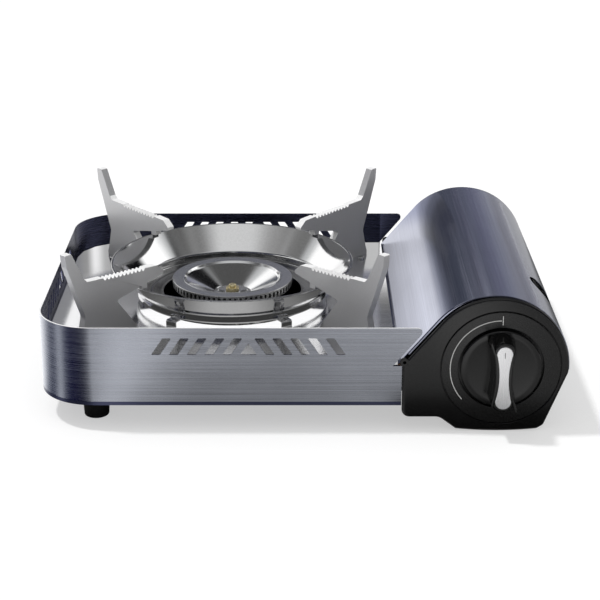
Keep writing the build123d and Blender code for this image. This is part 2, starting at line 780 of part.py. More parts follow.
with BuildPart() as nozzle_bracket:
    with BuildSketch(tube_plane(nozzle_plate_at)):
        Circle(2 * nozzle_radius)
        with Locations((0, shell_bottom - tube_level)):
            Rectangle(nozzle_plate_width, tube_height, align=(Align.CENTER, Align.MIN))
        Circle(nozzle_radius, mode=Mode.SUBTRACT)
    extrude(amount=bracket_sheet)
    with BuildSketch(tube_plane(nozzle_plate_at)):
        with Locations((0, shell_bottom - tube_level)):
            Rectangle(nozzle_plate_width, bracket_sheet, align=(Align.CENTER, Align.MIN))
    extrude(amount=-bracket_width / 2)
nozzle_bracket.part.label = "nozzle_bracket"
export_step(nozzle_bracket.part, "parts/nozzle_bracket.step")

with BuildPart() as gas_nozzle:
    with BuildSketch(tube_plane(nozzle_start)):
        Circle(nozzle_radius)
    extrude(amount=nozzle_length)
    with BuildSketch(tube_plane(nozzle_plate_at + bracket_sheet)):
        RegularPolygon(nozzle_hex, 6)
    extrude(amount=nozzle_hex_height)
    chamfer(gas_nozzle.edges().filter_by(GeomType.CIRCLE).sort_by(Axis.X)[0], length=1.0)
    with BuildSketch(tube_plane(nozzle_start)):
        Circle(jet_radius)
    extrude(amount=jet_length, mode=Mode.SUBTRACT)
gas_nozzle.part.label = "gas_nozzle"
export_step(gas_nozzle.part, "parts/gas_nozzle.step")

regulator_left = dial_x - regulator_width / 2
pipe_turn = (burner_x + (pipe_y - burner_y) / tan(turn), pipe_y, tube_level)
nozzle_end = nozzle_start + nozzle_length
pipe_tip = (burner_x + nozzle_end * cos(turn), burner_y + nozzle_end * sin(turn), tube_level)

with BuildPart() as gas_pipe:
    with BuildLine():
        pipe_path = FilletPolyline((regulator_left, pipe_y, tube_level), pipe_turn, pipe_tip,
                                   radius=pipe_bend)
    with BuildSketch(Plane(origin=pipe_path @ 0, z_dir=pipe_path % 0)):
        Circle(pipe_radius)
    sweep()
gas_pipe.part.label = "gas_pipe"
export_step(gas_pipe.part, "parts/gas_pipe.step")

# ================================================================ pan support
rim_low = bowl_rim_level - bowl_sheet

with BuildPart() as pan_bowl:
    with BuildSketch(across):
        with BuildLine():
            skin = FilletPolyline((bowl_hole_radius, bowl_floor_level), (bowl_skirt_radius, bowl_floor_level),
                                  (bowl_skirt_radius, tray_level + bowl_shoulder),
                                  (bowl_rim_radius - bowl_lip, rim_low),
                                  (bowl_rim_radius + bowl_lip, rim_low), radius=bowl_bends)
            offset(amount=bowl_sheet, side=Side.LEFT)
        make_face()
    revolve(axis=burner_axis)
pan_bowl.part.label = "pan_bowl"
export_step(pan_bowl.part, "parts/pan_bowl.step")

leg_shelf = bowl_floor_level + leg_sheet

with BuildPart() as bowl_legs:
    tab_top = tray_level + bowl_shoulder - leg_tab_drop
    for leg_angle in leg_angles:
        with BuildSketch(side_plane(leg_angle)):
            with BuildLine():
                Polyline((bowl_skirt_radius, tab_top),
                         (bowl_skirt_radius, bowl_floor_level), (leg_reach - leg_sheet, bowl_floor_level),
                         (leg_reach - leg_sheet, tray_level), (leg_reach, tray_level),
                         (leg_reach, leg_shelf), (bowl_skirt_radius + leg_sheet, leg_shelf),
                         (bowl_skirt_radius + leg_sheet, tab_top), close=True)
            make_face()
        extrude(amount=leg_width / 2, both=True)
bowl_legs.part.label = "bowl_legs"
export_step(bowl_legs.part, "parts/bowl_legs.step")

seat_level = tray_level + arm_seat
bowl_edge = bowl_rim_radius + bowl_lip
arm_foot_inner = arm_foot_outer - arm_foot_length
arm_fin_radius = arm_foot_outer + arm_fin_overhang
arm_tooth_start = arm_foot_outer - arm_tooth_inset
arm_level_radius = arm_foot_outer - arm_level_inset
arm_nib_inner = bowl_rim_radius - arm_nib_inset


def beam_top(radius):
    """Height of the beam's upper edge at a distance from the burner axis."""
    return seat_level - (arm_level_radius - radius) * arm_tooth_rise


def arm_profile():
    """One pan arm in its own plane: foot, waist, fin, toothed beam, tip and hollow."""
    foot_side = [(arm_foot_outer + x, tray_level + z) for x, z in arm_foot_side]
    fin_top = tray_level + arm_fin_height
    fin = [(arm_fin_radius + arm_fin_side[0], fin_top + arm_fin_side[1]), (arm_fin_radius, fin_top),
           (arm_fin_radius - arm_fin_width, fin_top)]
    notch_x, notch_z = arm_foot_outer + arm_notch[0], seat_level + arm_notch[1]
    notch = [(notch_x + arm_notch_cut, notch_z + arm_notch_cut), (notch_x, notch_z)]
    teeth = []
    for index in reversed(range(arm_tooth_count)):
        start = arm_tooth_start + index * arm_tooth_pitch
        end = start + arm_tooth_pitch
        valley = beam_top(start) - arm_tooth_depth
        teeth += [(end, beam_top(end)), (end - 0.35 * arm_tooth_pitch, valley),
                  (start + 0.35 * arm_tooth_pitch, valley)]
    top_of_tip = beam_top(arm_tip_radius)
    tip = [(arm_tip_radius + arm_tip[0][0], top_of_tip + arm_tip[0][1]),
           (arm_tip_radius + arm_tip[1][0], top_of_tip + arm_tip[1][1]),
           (arm_tip_radius + arm_tip[2][0], seat_level + arm_tip[2][1])]
    nib = [(arm_nib_inner, seat_level - arm_nib_drop), (arm_nib_inner, bowl_rim_level),
           (bowl_edge, bowl_rim_level)]
    belly = [(bowl_edge + arm_belly[0][0], seat_level + arm_belly[0][1]),
             (bowl_edge + arm_belly[1][0], seat_level + arm_belly[1][1])]
    return ([(arm_foot_inner, tray_level), (arm_foot_outer, tray_level)] + foot_side + fin + notch + teeth
            + [(arm_tooth_start, beam_top(arm_tooth_start))] + tip + nib + belly
            + [(arm_foot_inner, tray_level + arm_foot_rise)])


for arm_name, arm_angle in arm_angles.items():
    with BuildPart() as pan_arm:
        with BuildSketch(side_plane(arm_angle)):
            Polygon(*arm_profile(), align=None)
        extrude(amount=arm_thickness / 2, both=True)
    pan_arm.part.label = f"pan_arm_{arm_name}"
    export_step(pan_arm.part, f"parts/pan_arm_{arm_name}.step")

# ================================================================ lid
slope_start_x = hinge_x + barrel_radius * slope_x - lid_foot * slope_z
slope_start_z = hinge_height + barrel_radius * slope_z + lid_foot * slope_x
finger_out = (cos(radians(finger_rise)), 0, sin(radians(finger_rise)))
y_lid_front = y_front + sheet + lid_gap
y_lid_back = y_back - sheet - lid_gap
lid_length = y_lid_back - y_lid_front


def lid_section(inset, thickness):
    """The lid's section from the barrel over the slope and arc to the right edge."""
    start = (slope_start_x - inset * slope_x, slope_start_z - inset * slope_z)
    with BuildSketch() as section:
        with BuildLine():
            arc = CenterArc((bay_x, bay_height), bay_radius - inset, 90 + lid_slope, -90 - lid_slope)
            Line(start, arc @ 0)
            Line(arc @ 1, (bay_x + bay_radius - inset, bay_height - lid_tail))
            offset(amount=thickness, side=Side.RIGHT)
        make_face()
    return section.sketch


with BuildPart() as gas_lid:
    with BuildSketch(front_plane(y_lid_back)):
        add(lid_section(0, lid_sheet))
    extrude(amount=lid_length)
    for hem_y in (y_lid_front + hem_width, y_lid_back):
        with BuildSketch(front_plane(hem_y)):
            add(lid_section(lid_sheet, hem_sheet))
            with Locations((hinge_x, hinge_height)):
                Circle(hem_clear, mode=Mode.SUBTRACT)
        extrude(amount=hem_width)
    for barrel_y in (y_lid_front + barrel_length, y_lid_back):
        with BuildSketch(front_plane(barrel_y)):
            with Locations((hinge_x, hinge_height)):
                Circle(barrel_radius)
        extrude(amount=barrel_length)
    with BuildSketch(front_plane(y_lid_back)):
        with Locations((hinge_x, hinge_height)):
            Circle(pin_radius + pin_fit)
    extrude(amount=lid_length, mode=Mode.SUBTRACT)
    finger_plane = Plane(origin=(bay_x, y_front + finger_back, bay_height), x_dir=(0, 1, 0), z_dir=finger_out)
    with BuildSketch(finger_plane):
        Circle(finger_radius)
    extrude(amount=bay_radius + sheet, mode=Mode.SUBTRACT)
gas_lid.part.label = "gas_lid"
export_step(gas_lid.part, "parts/gas_lid.step")

with BuildPart() as lid_hinge_pins:
    for pin_y in (y_lid_front + barrel_length, y_rear):
        with BuildSketch(front_plane(pin_y)):
            with Locations((hinge_x, hinge_height)):
                Circle(pin_radius)
        extrude(amount=barrel_length + lid_gap + sheet + end_proud)
lid_hinge_pins.part.label = "lid_hinge_pins"
export_step(lid_hinge_pins.part, "parts/lid_hinge_pins.step")

# ================================================================ end housings
def plain_end(y_skin, y_wall, y_inner):
    """A housing's rim ahead of the wall, and its box under the lid, before any openings."""
    with BuildPart() as shell:
        with BuildSketch(front_plane(y_skin)):
            add(end_outline())
            with Locations((hinge_x, hinge_height)):
                Circle(pin_lobe_radius)
        extrude(amount=y_skin - y_wall)
        with BuildSketch(front_plane(y_wall)):
            add(box_outline())
        extrude(amount=y_wall - y_inner)
        with BuildSketch(front_plane(y_skin)):
            with Locations((hinge_x, hinge_height)):
                Circle(pin_radius)
        extrude(amount=y_skin - y_wall, mode=Mode.SUBTRACT)
    return shell.part


def hollow_end(y_start, y_open):
    """The room inside a box, open at the far end."""
    with BuildPart() as room:
        with BuildSketch(front_plane(y_start)):
            add(box_outline())
            offset(amount=-end_wall, mode=Mode.REPLACE)
        extrude(amount=y_start - y_open)
    return room.part


y_room = y_face + face_wall
boss_places = [(end_x + boss_x, boss_z) for boss_x, boss_z in boss_offsets]

with BuildPart() as front_housing:
    add(plain_end(y_face, y_front, y_box))
    add(hollow_end(y_room, y_box), mode=Mode.SUBTRACT)
    with BuildSketch(front_plane(y_box)):
        with Locations(*boss_places):
            Circle(boss_radius)
            Circle(screw_radius, mode=Mode.SUBTRACT)
    extrude(amount=y_box - y_room)
    with BuildSketch(front_plane(y_dial_seat)):
        with Locations((dial_x, dial_height)):
            Circle(dial_radius + dial_gap)
    extrude(amount=dial_sheet, mode=Mode.SUBTRACT)
    with BuildSketch(front_plane(y_knob_floor)):
        with Locations((dial_x, dial_height)):
            Circle(knob_radius + knob_gap)
    extrude(amount=knob_recess, mode=Mode.SUBTRACT)
    with BuildSketch(front_plane(y_room)):
        with Locations((dial_x, dial_height)):
            Circle(hub_radius + knob_clear)
    extrude(amount=face_wall, mode=Mode.SUBTRACT)
    for hole_y, hole_z, hole_radius in passage_holes:
        with BuildSketch(Plane.YZ.offset(end_left - sheet)):
            with Locations((hole_y, hole_z)):
                Circle(hole_radius)
        extrude(amount=end_wall + 2 * sheet, mode=Mode.SUBTRACT)
front_housing.part.label = "front_housing"
export_step(front_housing.part, "parts/front_housing.step")

with BuildPart() as rear_housing:
    add(plain_end(y_rear, y_back, y_rear_box))
    add(hollow_end(y_back, y_rear_box), mode=Mode.SUBTRACT)
rear_housing.part.label = "rear_housing"
export_step(rear_housing.part, "parts/rear_housing.step")

with BuildPart() as dial_plate:
    with BuildSketch(front_plane(y_dial_seat)):
        with Locations((dial_x, dial_height)):
            Circle(dial_radius)
            Circle(knob_radius + knob_gap, mode=Mode.SUBTRACT)
    extrude(amount=dial_sheet)
    chamfer(dial_plate.edges().group_by(Axis.Y)[0], length=0.3)
dial_plate.part.label = "dial_plate"
export_step(dial_plate.part, "parts/dial_plate.step")

with BuildPart() as bay_trough:
    with BuildSketch(front_plane(y_rear_box)):
        add(inner_outline(trough_inset))
        add(inner_outline(trough_inset + trough_sheet), mode=Mode.SUBTRACT)
        with Locations((end_x, trough_top)):
            Rectangle(3 * bay_radius, 2 * bay_radius, align=(Align.CENTER, Align.MIN), mode=Mode.SUBTRACT)
    extrude(amount=y_rear_box - y_bulkhead)
    with BuildSketch(Plane.YZ.offset(end_left)):
        with Locations((heat_y, heat_z)):
            Rectangle(heat_width + 2 * through_gap, heat_sheet + 2 * through_gap)
    extrude(amount=2 * trough_sheet, mode=Mode.SUBTRACT)
bay_trough.part.label = "bay_trough"
export_step(bay_trough.part, "parts/bay_trough.step")

with BuildPart() as bay_bulkhead:
    with BuildSketch(front_plane(y_bulkhead)):
        add(box_outline())
        with Locations((end_x, end_height)):
            Circle(seal_radius, mode=Mode.SUBTRACT)
        with Locations(*boss_places):
            Circle(screw_radius, mode=Mode.SUBTRACT)
    extrude(amount=bulkhead_sheet)
bay_bulkhead.part.label = "bay_bulkhead"
export_step(bay_bulkhead.part, "parts/bay_bulkhead.step")

# ================================================================ knob
dial_axis = Axis((dial_x, y_face, dial_height), (0, 1, 0))
knob_section = Plane(origin=(dial_x, y_face, dial_height), x_dir=(1, 0, 0), z_dir=(0, 0, 1))
knob_back = dial_sheet + knob_recess - knob_clear
grip_front = y_front - knob_proud + insert_proud
y_grip_foot = y_face + knob_clear
y_hub_end = y_face + knob_back + hub_length

with BuildPart() as control_knob:
    with BuildSketch(knob_section):
        with BuildLine():
            rim_inner = knob_radius - knob_land
            dish_floor = knob_dish - knob_rim
            Polyline((0, knob_back), (knob_radius, knob_back), (knob_radius, knob_round - knob_rim),
                     (knob_radius - knob_round, -knob_rim), (rim_inner, -knob_rim))
            TangentArc((0, dish_floor), (rim_inner, -knob_rim), tangent=(1, 0), tangent_from_first=True)
            Line((0, dish_floor), (0, knob_back))
        make_face()
    revolve(axis=dial_axis)
    with BuildSketch(front_plane(y_grip_foot)):
        with Locations((dial_x, dial_height)):
            add(dog_bone(grip_length, grip_end_radius, grip_waist))
    extrude(amount=y_grip_foot - grip_front, taper=grip_taper)
    fillet(control_knob.edges().group_by(Axis.Y)[0], radius=knob_round)
    with BuildSketch(front_plane(grip_front)):
        with Locations((dial_x, dial_height)):
            add(dog_bone(insert_length + 2 * insert_fit, insert_end_radius + insert_fit,
                         insert_waist + insert_fit))
    extrude(amount=-insert_depth, mode=Mode.SUBTRACT)
    with BuildSketch(front_plane(y_hub_end)):
        with Locations((dial_x, dial_height)):
            Circle(hub_radius)
    extrude(amount=hub_length)
    with BuildSketch(front_plane(y_hub_end)):
        with Locations((dial_x, dial_height)):
            Circle(spindle_radius)
    extrude(amount=hub_length, mode=Mode.SUBTRACT)
control_knob.part.label = "control_knob"
export_step(control_knob.part, "parts/control_knob.step")

with BuildPart() as knob_insert:
    with BuildSketch(front_plane(grip_front + insert_depth)):
        with Locations((dial_x, dial_height)):
            add(dog_bone(insert_length, insert_end_radius, insert_waist))
    extrude(amount=insert_depth + insert_proud)
    fillet(knob_insert.edges().group_by(Axis.Y)[0], radius=0.8 * insert_proud)
knob_insert.part.label = "knob_insert"
export_step(knob_insert.part, "parts/knob_insert.step")

y_regulator = y_front + regulator_front
y_neck = y_regulator - neck_length
y_spindle_end = y_regulator + neck_length

with BuildPart() as valve_spindle:
    with BuildSketch(front_plane(y_spindle_end)):
        with Locations((dial_x, dial_height)):
            Circle(spindle_radius)
    extrude(amount=y_spindle_end - (y_hub_end - hub_length))
valve_spindle.part.label = "valve_spindle"
export_step(valve_spindle.part, "parts/valve_spindle.step")

with BuildPart() as ignition_cam:
    with BuildSketch(front_plane(y_hub_end + cam_sheet)):
        with Locations((dial_x, dial_height)):
            Circle(cam_radius)
            with Locations(Location((0, 0), cam_rest_angle)):
                Rectangle(cam_reach, cam_width, align=(Align.MIN, Align.CENTER))
            Circle(spindle_radius, mode=Mode.SUBTRACT)
    extrude(amount=cam_sheet)
ignition_cam.part.label = "ignition_cam"
export_step(ignition_cam.part, "parts/ignition_cam.step")

# ================================================================ regulator and igniter
with BuildPart() as regulator_body:
    with BuildSketch(front_plane(y_box)):
        with Locations((dial_x, dial_height)):
            RectangleRounded(regulator_width, regulator_height, regulator_round)
    extrude(amount=y_box - y_regulator)
    with BuildSketch(front_plane(y_regulator)):
        with Locations((dial_x, dial_height)):
            Circle(neck_radius)
    extrude(amount=neck_length)
    with BuildSketch(front_plane(y_spindle_end)):
        with Locations((dial_x, dial_height)):
            Circle(spindle_radius + spindle_fit)
    extrude(amount=y_spindle_end - y_neck, mode=Mode.SUBTRACT)
regulator_body.part.label = "regulator_body"
export_step(regulator_body.part, "parts/regulator_body.step")

regulator_top = dial_height + regulator_height / 2
cap_y = (y_regulator + y_box) / 2

with BuildPart() as regulator_cap:
    with BuildSketch(Plane.XY.offset(regulator_top)):
        with Locations((dial_x, cap_y)):
            Circle(cap_radius)
    extrude(amount=cap_thickness)
    fillet(regulator_cap.edges().group_by(Axis.Z)[-1], radius=cap_round)
    with Locations((dial_x, cap_y, regulator_top)):
        with PolarLocations(cap_radius - cap_screw_in, 4, start_angle=45):
            Hole(radius=screw_radius, depth=cap_thickness)
regulator_cap.part.label = "regulator_cap"
export_step(regulator_cap.part, "parts/regulator_cap.step")

igniter_level = dial_height - igniter_drop
y_cam_back = y_hub_end + cam_sheet
y_igniter = y_front + igniter_front

with BuildPart() as piezo_igniter:
    with BuildSketch(front_plane(y_box)):
        with Locations((dial_x, igniter_level)):
            RectangleRounded(igniter_size, igniter_size, igniter_round)
    extrude(amount=y_box - y_igniter)
    with BuildSketch(front_plane(y_igniter)):
        with Locations((dial_x, igniter_level)):
            Circle(plunger_radius)
    extrude(amount=y_igniter - y_cam_back - plunger_clear)
piezo_igniter.part.label = "piezo_igniter"
export_step(piezo_igniter.part, "parts/piezo_igniter.step")

# ================================================================ ignition electrode and lead
electrode_x = burner_x + electrode_dx
electrode_y = burner_y + electrode_dy
ceramic_foot = shell_bottom + ceramic_bottom
ceramic_head = shell_bottom + ceramic_top

with BuildPart() as electrode_insulator:
    with BuildSketch(Plane.XY.offset(ceramic_foot)):
        with Locations((electrode_x, electrode_y)):
            Circle(ceramic_radius)
    extrude(amount=ceramic_head - ceramic_foot)
    fillet(electrode_insulator.edges().group_by(Axis.Z)[-1], radius=wire_radius)
electrode_insulator.part.label = "electrode_insulator"
export_step(electrode_insulator.part, "parts/electrode_insulator.step")

with BuildPart() as ignition_electrode:
    with BuildLine():
        peak = (electrode_x, electrode_y, ceramic_head + wire_peak)
        wire_path = FilletPolyline((electrode_x, electrode_y, ceramic_head), peak,
                                   (electrode_x + wire_lean, electrode_y, peak[2] - wire_lean),
                                   radius=wire_bend)
    with BuildSketch(Plane(origin=wire_path @ 0, z_dir=wire_path % 0)):
        Circle(wire_radius)
    sweep()
ignition_electrode.part.label = "ignition_electrode"
export_step(ignition_electrode.part, "parts/ignition_electrode.step")

clip_level = ceramic_foot + ceramic_radius

with BuildPart() as electrode_bracket:
    with BuildSketch(front_plane(electrode_y + ceramic_radius + clip_margin)):
        with BuildLine():
            clip_end = electrode_x + ceramic_radius + clip_margin
            clip_heel = electrode_x - clip_heel_back
            Polyline((clip_heel - clip_toe, shell_bottom), (clip_heel + bracket_sheet, shell_bottom),
                     (clip_heel + bracket_sheet, clip_level), (clip_end, clip_level),
                     (clip_end, clip_level + bracket_sheet), (clip_heel, clip_level + bracket_sheet),
                     (clip_heel, shell_bottom + bracket_sheet),
                     (clip_heel - clip_toe, shell_bottom + bracket_sheet), close=True)
        make_face()
    extrude(amount=2 * (ceramic_radius + clip_margin))
    with BuildSketch(Plane.XY.offset(clip_level)):
        with Locations((electrode_x, electrode_y)):
            Circle(ceramic_radius)
    extrude(amount=bracket_sheet, mode=Mode.SUBTRACT)
electrode_bracket.part.label = "electrode_bracket"
export_step(electrode_bracket.part, "parts/electrode_bracket.step")

with BuildPart() as ignition_lead:
    with BuildLine():
        lead_route = FilletPolyline((dial_x - igniter_size / 2, lead_y, lead_level),
                                    (burner_x + lead_turn_x, lead_y, lead_level),
                                    (electrode_x + lead_run_in[0], electrode_y + lead_run_in[1], lead_level),
                                    (electrode_x, electrode_y, lead_level),
                                    (electrode_x, electrode_y, ceramic_foot),
                                    radius=lead_bends)
    with BuildSketch(Plane(origin=lead_route @ 0, z_dir=lead_route % 0)):
        Circle(lead_radius)
    sweep()
ignition_lead.part.label = "ignition_lead"
export_step(ignition_lead.part, "parts/ignition_lead.step")

# ================================================================ cartridge seat and bay fittings
y_seat = y_bulkhead + seat_floor + seat_bore_depth

with BuildPart() as cartridge_seat:
    with BuildSketch(front_plane(y_seat)):
        with Locations((end_x, end_height)):
            Circle(seat_radius)
    extrude(amount=y_seat - y_bulkhead)
    with BuildSketch(front_plane(y_seat)):
        with Locations((end_x, end_height)):
            Circle(seat_bore_radius)
    extrude(amount=seat_bore_depth, mode=Mode.SUBTRACT)
    with BuildSketch(front_plane(y_seat)):
        with Locations((end_x, end_height)):
            Circle(seal_radius)
    extrude(amount=y_seat - y_bulkhead, mode=Mode.SUBTRACT)
cartridge_seat.part.label = "cartridge_seat"
export_step(cartridge_seat.part, "parts/cartridge_seat.step")

with BuildPart() as seat_magnet:
    with BuildSketch(front_plane(y_bulkhead + magnet_thickness)):
        with Locations((end_x, end_height)):
            Circle(magnet_radius)
            Circle(seat_radius, mode=Mode.SUBTRACT)
    extrude(amount=magnet_thickness)
seat_magnet.part.label = "seat_magnet"
export_step(seat_magnet.part, "parts/seat_magnet.step")

with BuildPart() as inlet_seal:
    with BuildSketch(front_plane(y_bulkhead + seat_floor)):
        with Locations((end_x, end_height)):
            Circle(seal_radius)
            Circle(seal_bore, mode=Mode.SUBTRACT)
    extrude(amount=seat_floor + bulkhead_sheet)
inlet_seal.part.label = "inlet_seal"
export_step(inlet_seal.part, "parts/inlet_seal.step")

with BuildPart() as cartridge_cradle:
    for cradle_y in (y_front + cradle_front, y_front + cradle_back):
        with BuildSketch(front_plane(cradle_y)):
            add(inner_outline(trough_inset + trough_sheet))
            with Locations((end_x, cradle_height)):
                Rectangle(4 * bay_radius, 4 * bay_radius, align=(Align.CENTER, Align.MIN),
                          mode=Mode.SUBTRACT)
            with Locations((end_x - cradle_half_span, 0)):
                Rectangle(2 * bay_radius, 4 * bay_radius, align=(Align.MAX, Align.CENTER),
                          mode=Mode.SUBTRACT)
            with Locations((end_x + cradle_half_span, 0)):
                Rectangle(2 * bay_radius, 4 * bay_radius, align=(Align.MIN, Align.CENTER),
                          mode=Mode.SUBTRACT)
            with Locations((end_x, end_height)):
                Circle(cartridge_radius + cartridge_clear, mode=Mode.SUBTRACT)
        extrude(amount=cradle_width)
cartridge_cradle.part.label = "cartridge_cradle"
export_step(cartridge_cradle.part, "parts/cartridge_cradle.step")

heat_reach = sqrt((cartridge_radius + cartridge_clear) ** 2 - (end_height - heat_z) ** 2)
heat_right = end_x - heat_reach - heat_gap
heat_under = heat_z - heat_sheet / 2

with BuildPart() as heat_plate:
    with BuildSketch(front_plane(heat_y + heat_width / 2)):
        add(bent_sheet([(burner_x + heat_start, shell_bottom), (burner_x + heat_rise, shell_bottom),
                        (burner_x + heat_rise + heat_level, heat_under), (heat_right, heat_under),
                        (heat_right + heat_tongue, heat_under - heat_tongue)], heat_sheet, heat_bend))
    extrude(amount=heat_width)
heat_plate.part.label = "heat_plate"
export_step(heat_plate.part, "parts/heat_plate.step")

# ================================================================ fasteners
with BuildPart() as foot_screws:
    with BuildSketch(Plane.XY.offset(foot_top / 2)):
        with Locations(*foot_centres):
            Circle(screw_head_radius)
    extrude(amount=-screw_head_height)
    with BuildSketch(Plane.XY.offset(foot_top / 2)):
        with Locations(*foot_centres):
            Circle(screw_radius)
    extrude(amount=shell_bottom - foot_top / 2)
foot_screws.part.label = "foot_screws"
export_step(foot_screws.part, "parts/foot_screws.step")

with BuildPart() as housing_screws:
    with BuildSketch(front_plane(y_bulkhead + screw_head_height)):
        with Locations(*boss_places):
            Circle(screw_head_radius)
    extrude(amount=screw_head_height)
    with BuildSketch(front_plane(y_bulkhead)):
        with Locations(*boss_places):
            Circle(screw_radius)
    extrude(amount=y_bulkhead - y_room - boss_depth)
housing_screws.part.label = "housing_screws"
export_step(housing_screws.part, "parts/housing_screws.step")

with BuildPart() as regulator_screws:
    with BuildSketch(Plane.XY.offset(regulator_top + cap_thickness)):
        with Locations((dial_x, cap_y)):
            with PolarLocations(cap_radius - cap_screw_in, 4, start_angle=45):
                Circle(cap_screw_head)
    extrude(amount=cap_screw_height)
    with BuildSketch(Plane.XY.offset(regulator_top)):
        with Locations((dial_x, cap_y)):
            with PolarLocations(cap_radius - cap_screw_in, 4, start_angle=45):
                Circle(screw_radius)
    extrude(amount=cap_thickness)
regulator_screws.part.label = "regulator_screws"
export_step(regulator_screws.part, "parts/regulator_screws.step")
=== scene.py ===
from math import asin, cos, degrees, hypot, pi, radians, sin, sqrt, tan

import bmesh
import bpy
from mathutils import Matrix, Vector
from mathutils.geometry import delaunay_2d_cdt


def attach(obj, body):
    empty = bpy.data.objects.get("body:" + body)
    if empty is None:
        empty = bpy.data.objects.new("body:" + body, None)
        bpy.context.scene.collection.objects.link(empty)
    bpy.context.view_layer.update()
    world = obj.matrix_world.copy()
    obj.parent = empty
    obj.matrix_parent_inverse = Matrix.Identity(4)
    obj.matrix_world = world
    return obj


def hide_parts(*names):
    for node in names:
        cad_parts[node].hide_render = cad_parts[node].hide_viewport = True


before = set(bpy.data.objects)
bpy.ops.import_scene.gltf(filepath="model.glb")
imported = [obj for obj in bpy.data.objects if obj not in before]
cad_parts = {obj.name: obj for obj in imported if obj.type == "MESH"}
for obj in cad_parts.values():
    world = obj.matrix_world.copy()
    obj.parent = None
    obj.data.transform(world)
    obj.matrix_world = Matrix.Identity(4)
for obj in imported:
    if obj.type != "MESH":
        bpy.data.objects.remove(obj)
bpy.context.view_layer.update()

# lengths are in mm and angles in degrees, unless a comment says otherwise
MM = 0.001
DEGREES = 57.2958  # in a radian
BURNER = (-48.7, 8)
DIAL = (127, 43.7)
LEFT, FRONT, BACK = -171, -114, 131
FACE, REAR = -116, 133
TRAY_TOP, SEAT = 47.3, 90.3

scene = bpy.context.scene
scene.view_settings.view_transform = "Standard"


def linked(name, data):
    obj = bpy.data.objects.new(name, data)
    scene.collection.objects.link(obj)
    return obj


# ---------------- camera
CAMERA_PLACE = (0.3, -1076.5, 445.4)
CAMERA_PITCH = 20.3
SHIFT_PIXELS, FRAME_PIXELS = -2, 600

cam_data = bpy.data.cameras.new("camera")
cam_data.sensor_fit = "HORIZONTAL"
cam_data.sensor_width = 36
cam_data.lens = 98.1
cam_data.shift_x = SHIFT_PIXELS / FRAME_PIXELS
cam_data.clip_end = 20
cam = linked("camera", cam_data)
cam.location = [c * MM for c in CAMERA_PLACE]
cam.rotation_euler = (radians(90 - CAMERA_PITCH), 0, 0)
scene.camera = cam


# ---------------- node helpers
def feed(tree, inputs, values):
    """Link inputs to other nodes' outputs, or set them to values."""
    for key, value in values.items():
        if isinstance(value, bpy.types.NodeSocket):
            tree.links.new(value, inputs[key])
        else:
            inputs[key].default_value = value


def new_node(tree, kind, values=None, **props):
    """A shader node, its kind without the leading ShaderNode."""
    node = tree.nodes.new("ShaderNode" + kind)
    for key, value in props.items():
        setattr(node, key, value)
    feed(tree, node.inputs, values or {})
    return node


def math_node(tree, operation, a, b=0):
    return new_node(tree, "Math", {0: a, 1: b}, operation=operation).outputs[0]


def times(tree, a, b):
    return math_node(tree, "MULTIPLY", a, b)


def smooth_range(tree, value, lo, hi, a=0, b=1):
    """a up to lo and b from hi on, with a smooth step between."""
    inputs = {"Value": value, "From Min": lo, "From Max": hi, "To Min": a, "To Max": b}
    node = new_node(tree, "MapRange", inputs, interpolation_type="SMOOTHSTEP")
    return node.outputs["Result"]


def mix_colour(tree, factor, a, b, blend="MIX"):
    a, b = ((*tone[:3], 1) if isinstance(tone, tuple) else tone for tone in (a, b))
    return new_node(tree, "Mix", {0: factor, 6: a, 7: b}, data_type="RGBA", blend_type=blend).outputs[2]


def mix_shader(tree, factor, a, b):
    return new_node(tree, "MixShader", {0: factor, 1: a, 2: b}).outputs[0]


def ramp(tree, value, stops):
    """Colours that follow one another smoothly along a value."""
    colour = stops[0][1]
    for (start, _), (end, tone) in zip(stops, stops[1:]):
        colour = mix_colour(tree, smooth_range(tree, value, start, end), colour, tone)
    return colour


def inside_range(tree, value, low, high, soft):
    """1 between low and high, and 0 outside, with soft edges."""
    rise = smooth_range(tree, value, low - soft, low + soft)
    fall = smooth_range(tree, value, high - soft, high + soft, 1, 0)
    return times(tree, rise, fall)


def new_material(name):
    """A material whose nodes are still to be made, and its node tree."""
    mat = bpy.data.materials.new(name)
    mat.use_nodes = True
    mat.node_tree.nodes.clear()
    return mat, mat.node_tree


def grey(value, blue=0):
    """A neutral colour, or one with a tint of blue."""
    return (value, value + 0.2 * blue, value + blue)


WHITE = (1, 1, 1, 1)


# ---------------- world
# What mirror-like metal sees of the studio: azimuth from the back, clockwise, and height above the floor.
AMBIENT = 0.58
BAND_AZIMUTH, BAND_HEIGHT, BAND_SOFT = (-22, 24), (6.2, 21.2), (2, 0.7)
BAND = (
    (-14, (0.085, 0.095, 0.12)), (-8, (0.085, 0.095, 0.125)), (-3.5, (0.11, 0.12, 0.155)),
    (1, (0.13, 0.135, 0.18)), (5, (0.175, 0.185, 0.235)), (9, (0.2, 0.205, 0.27)),
    (12.5, (0.26, 0.265, 0.335)), (15, (0.31, 0.32, 0.38)), (17, (0.34, 0.35, 0.4)),
    (19, (0.38, 0.38, 0.41)),
)
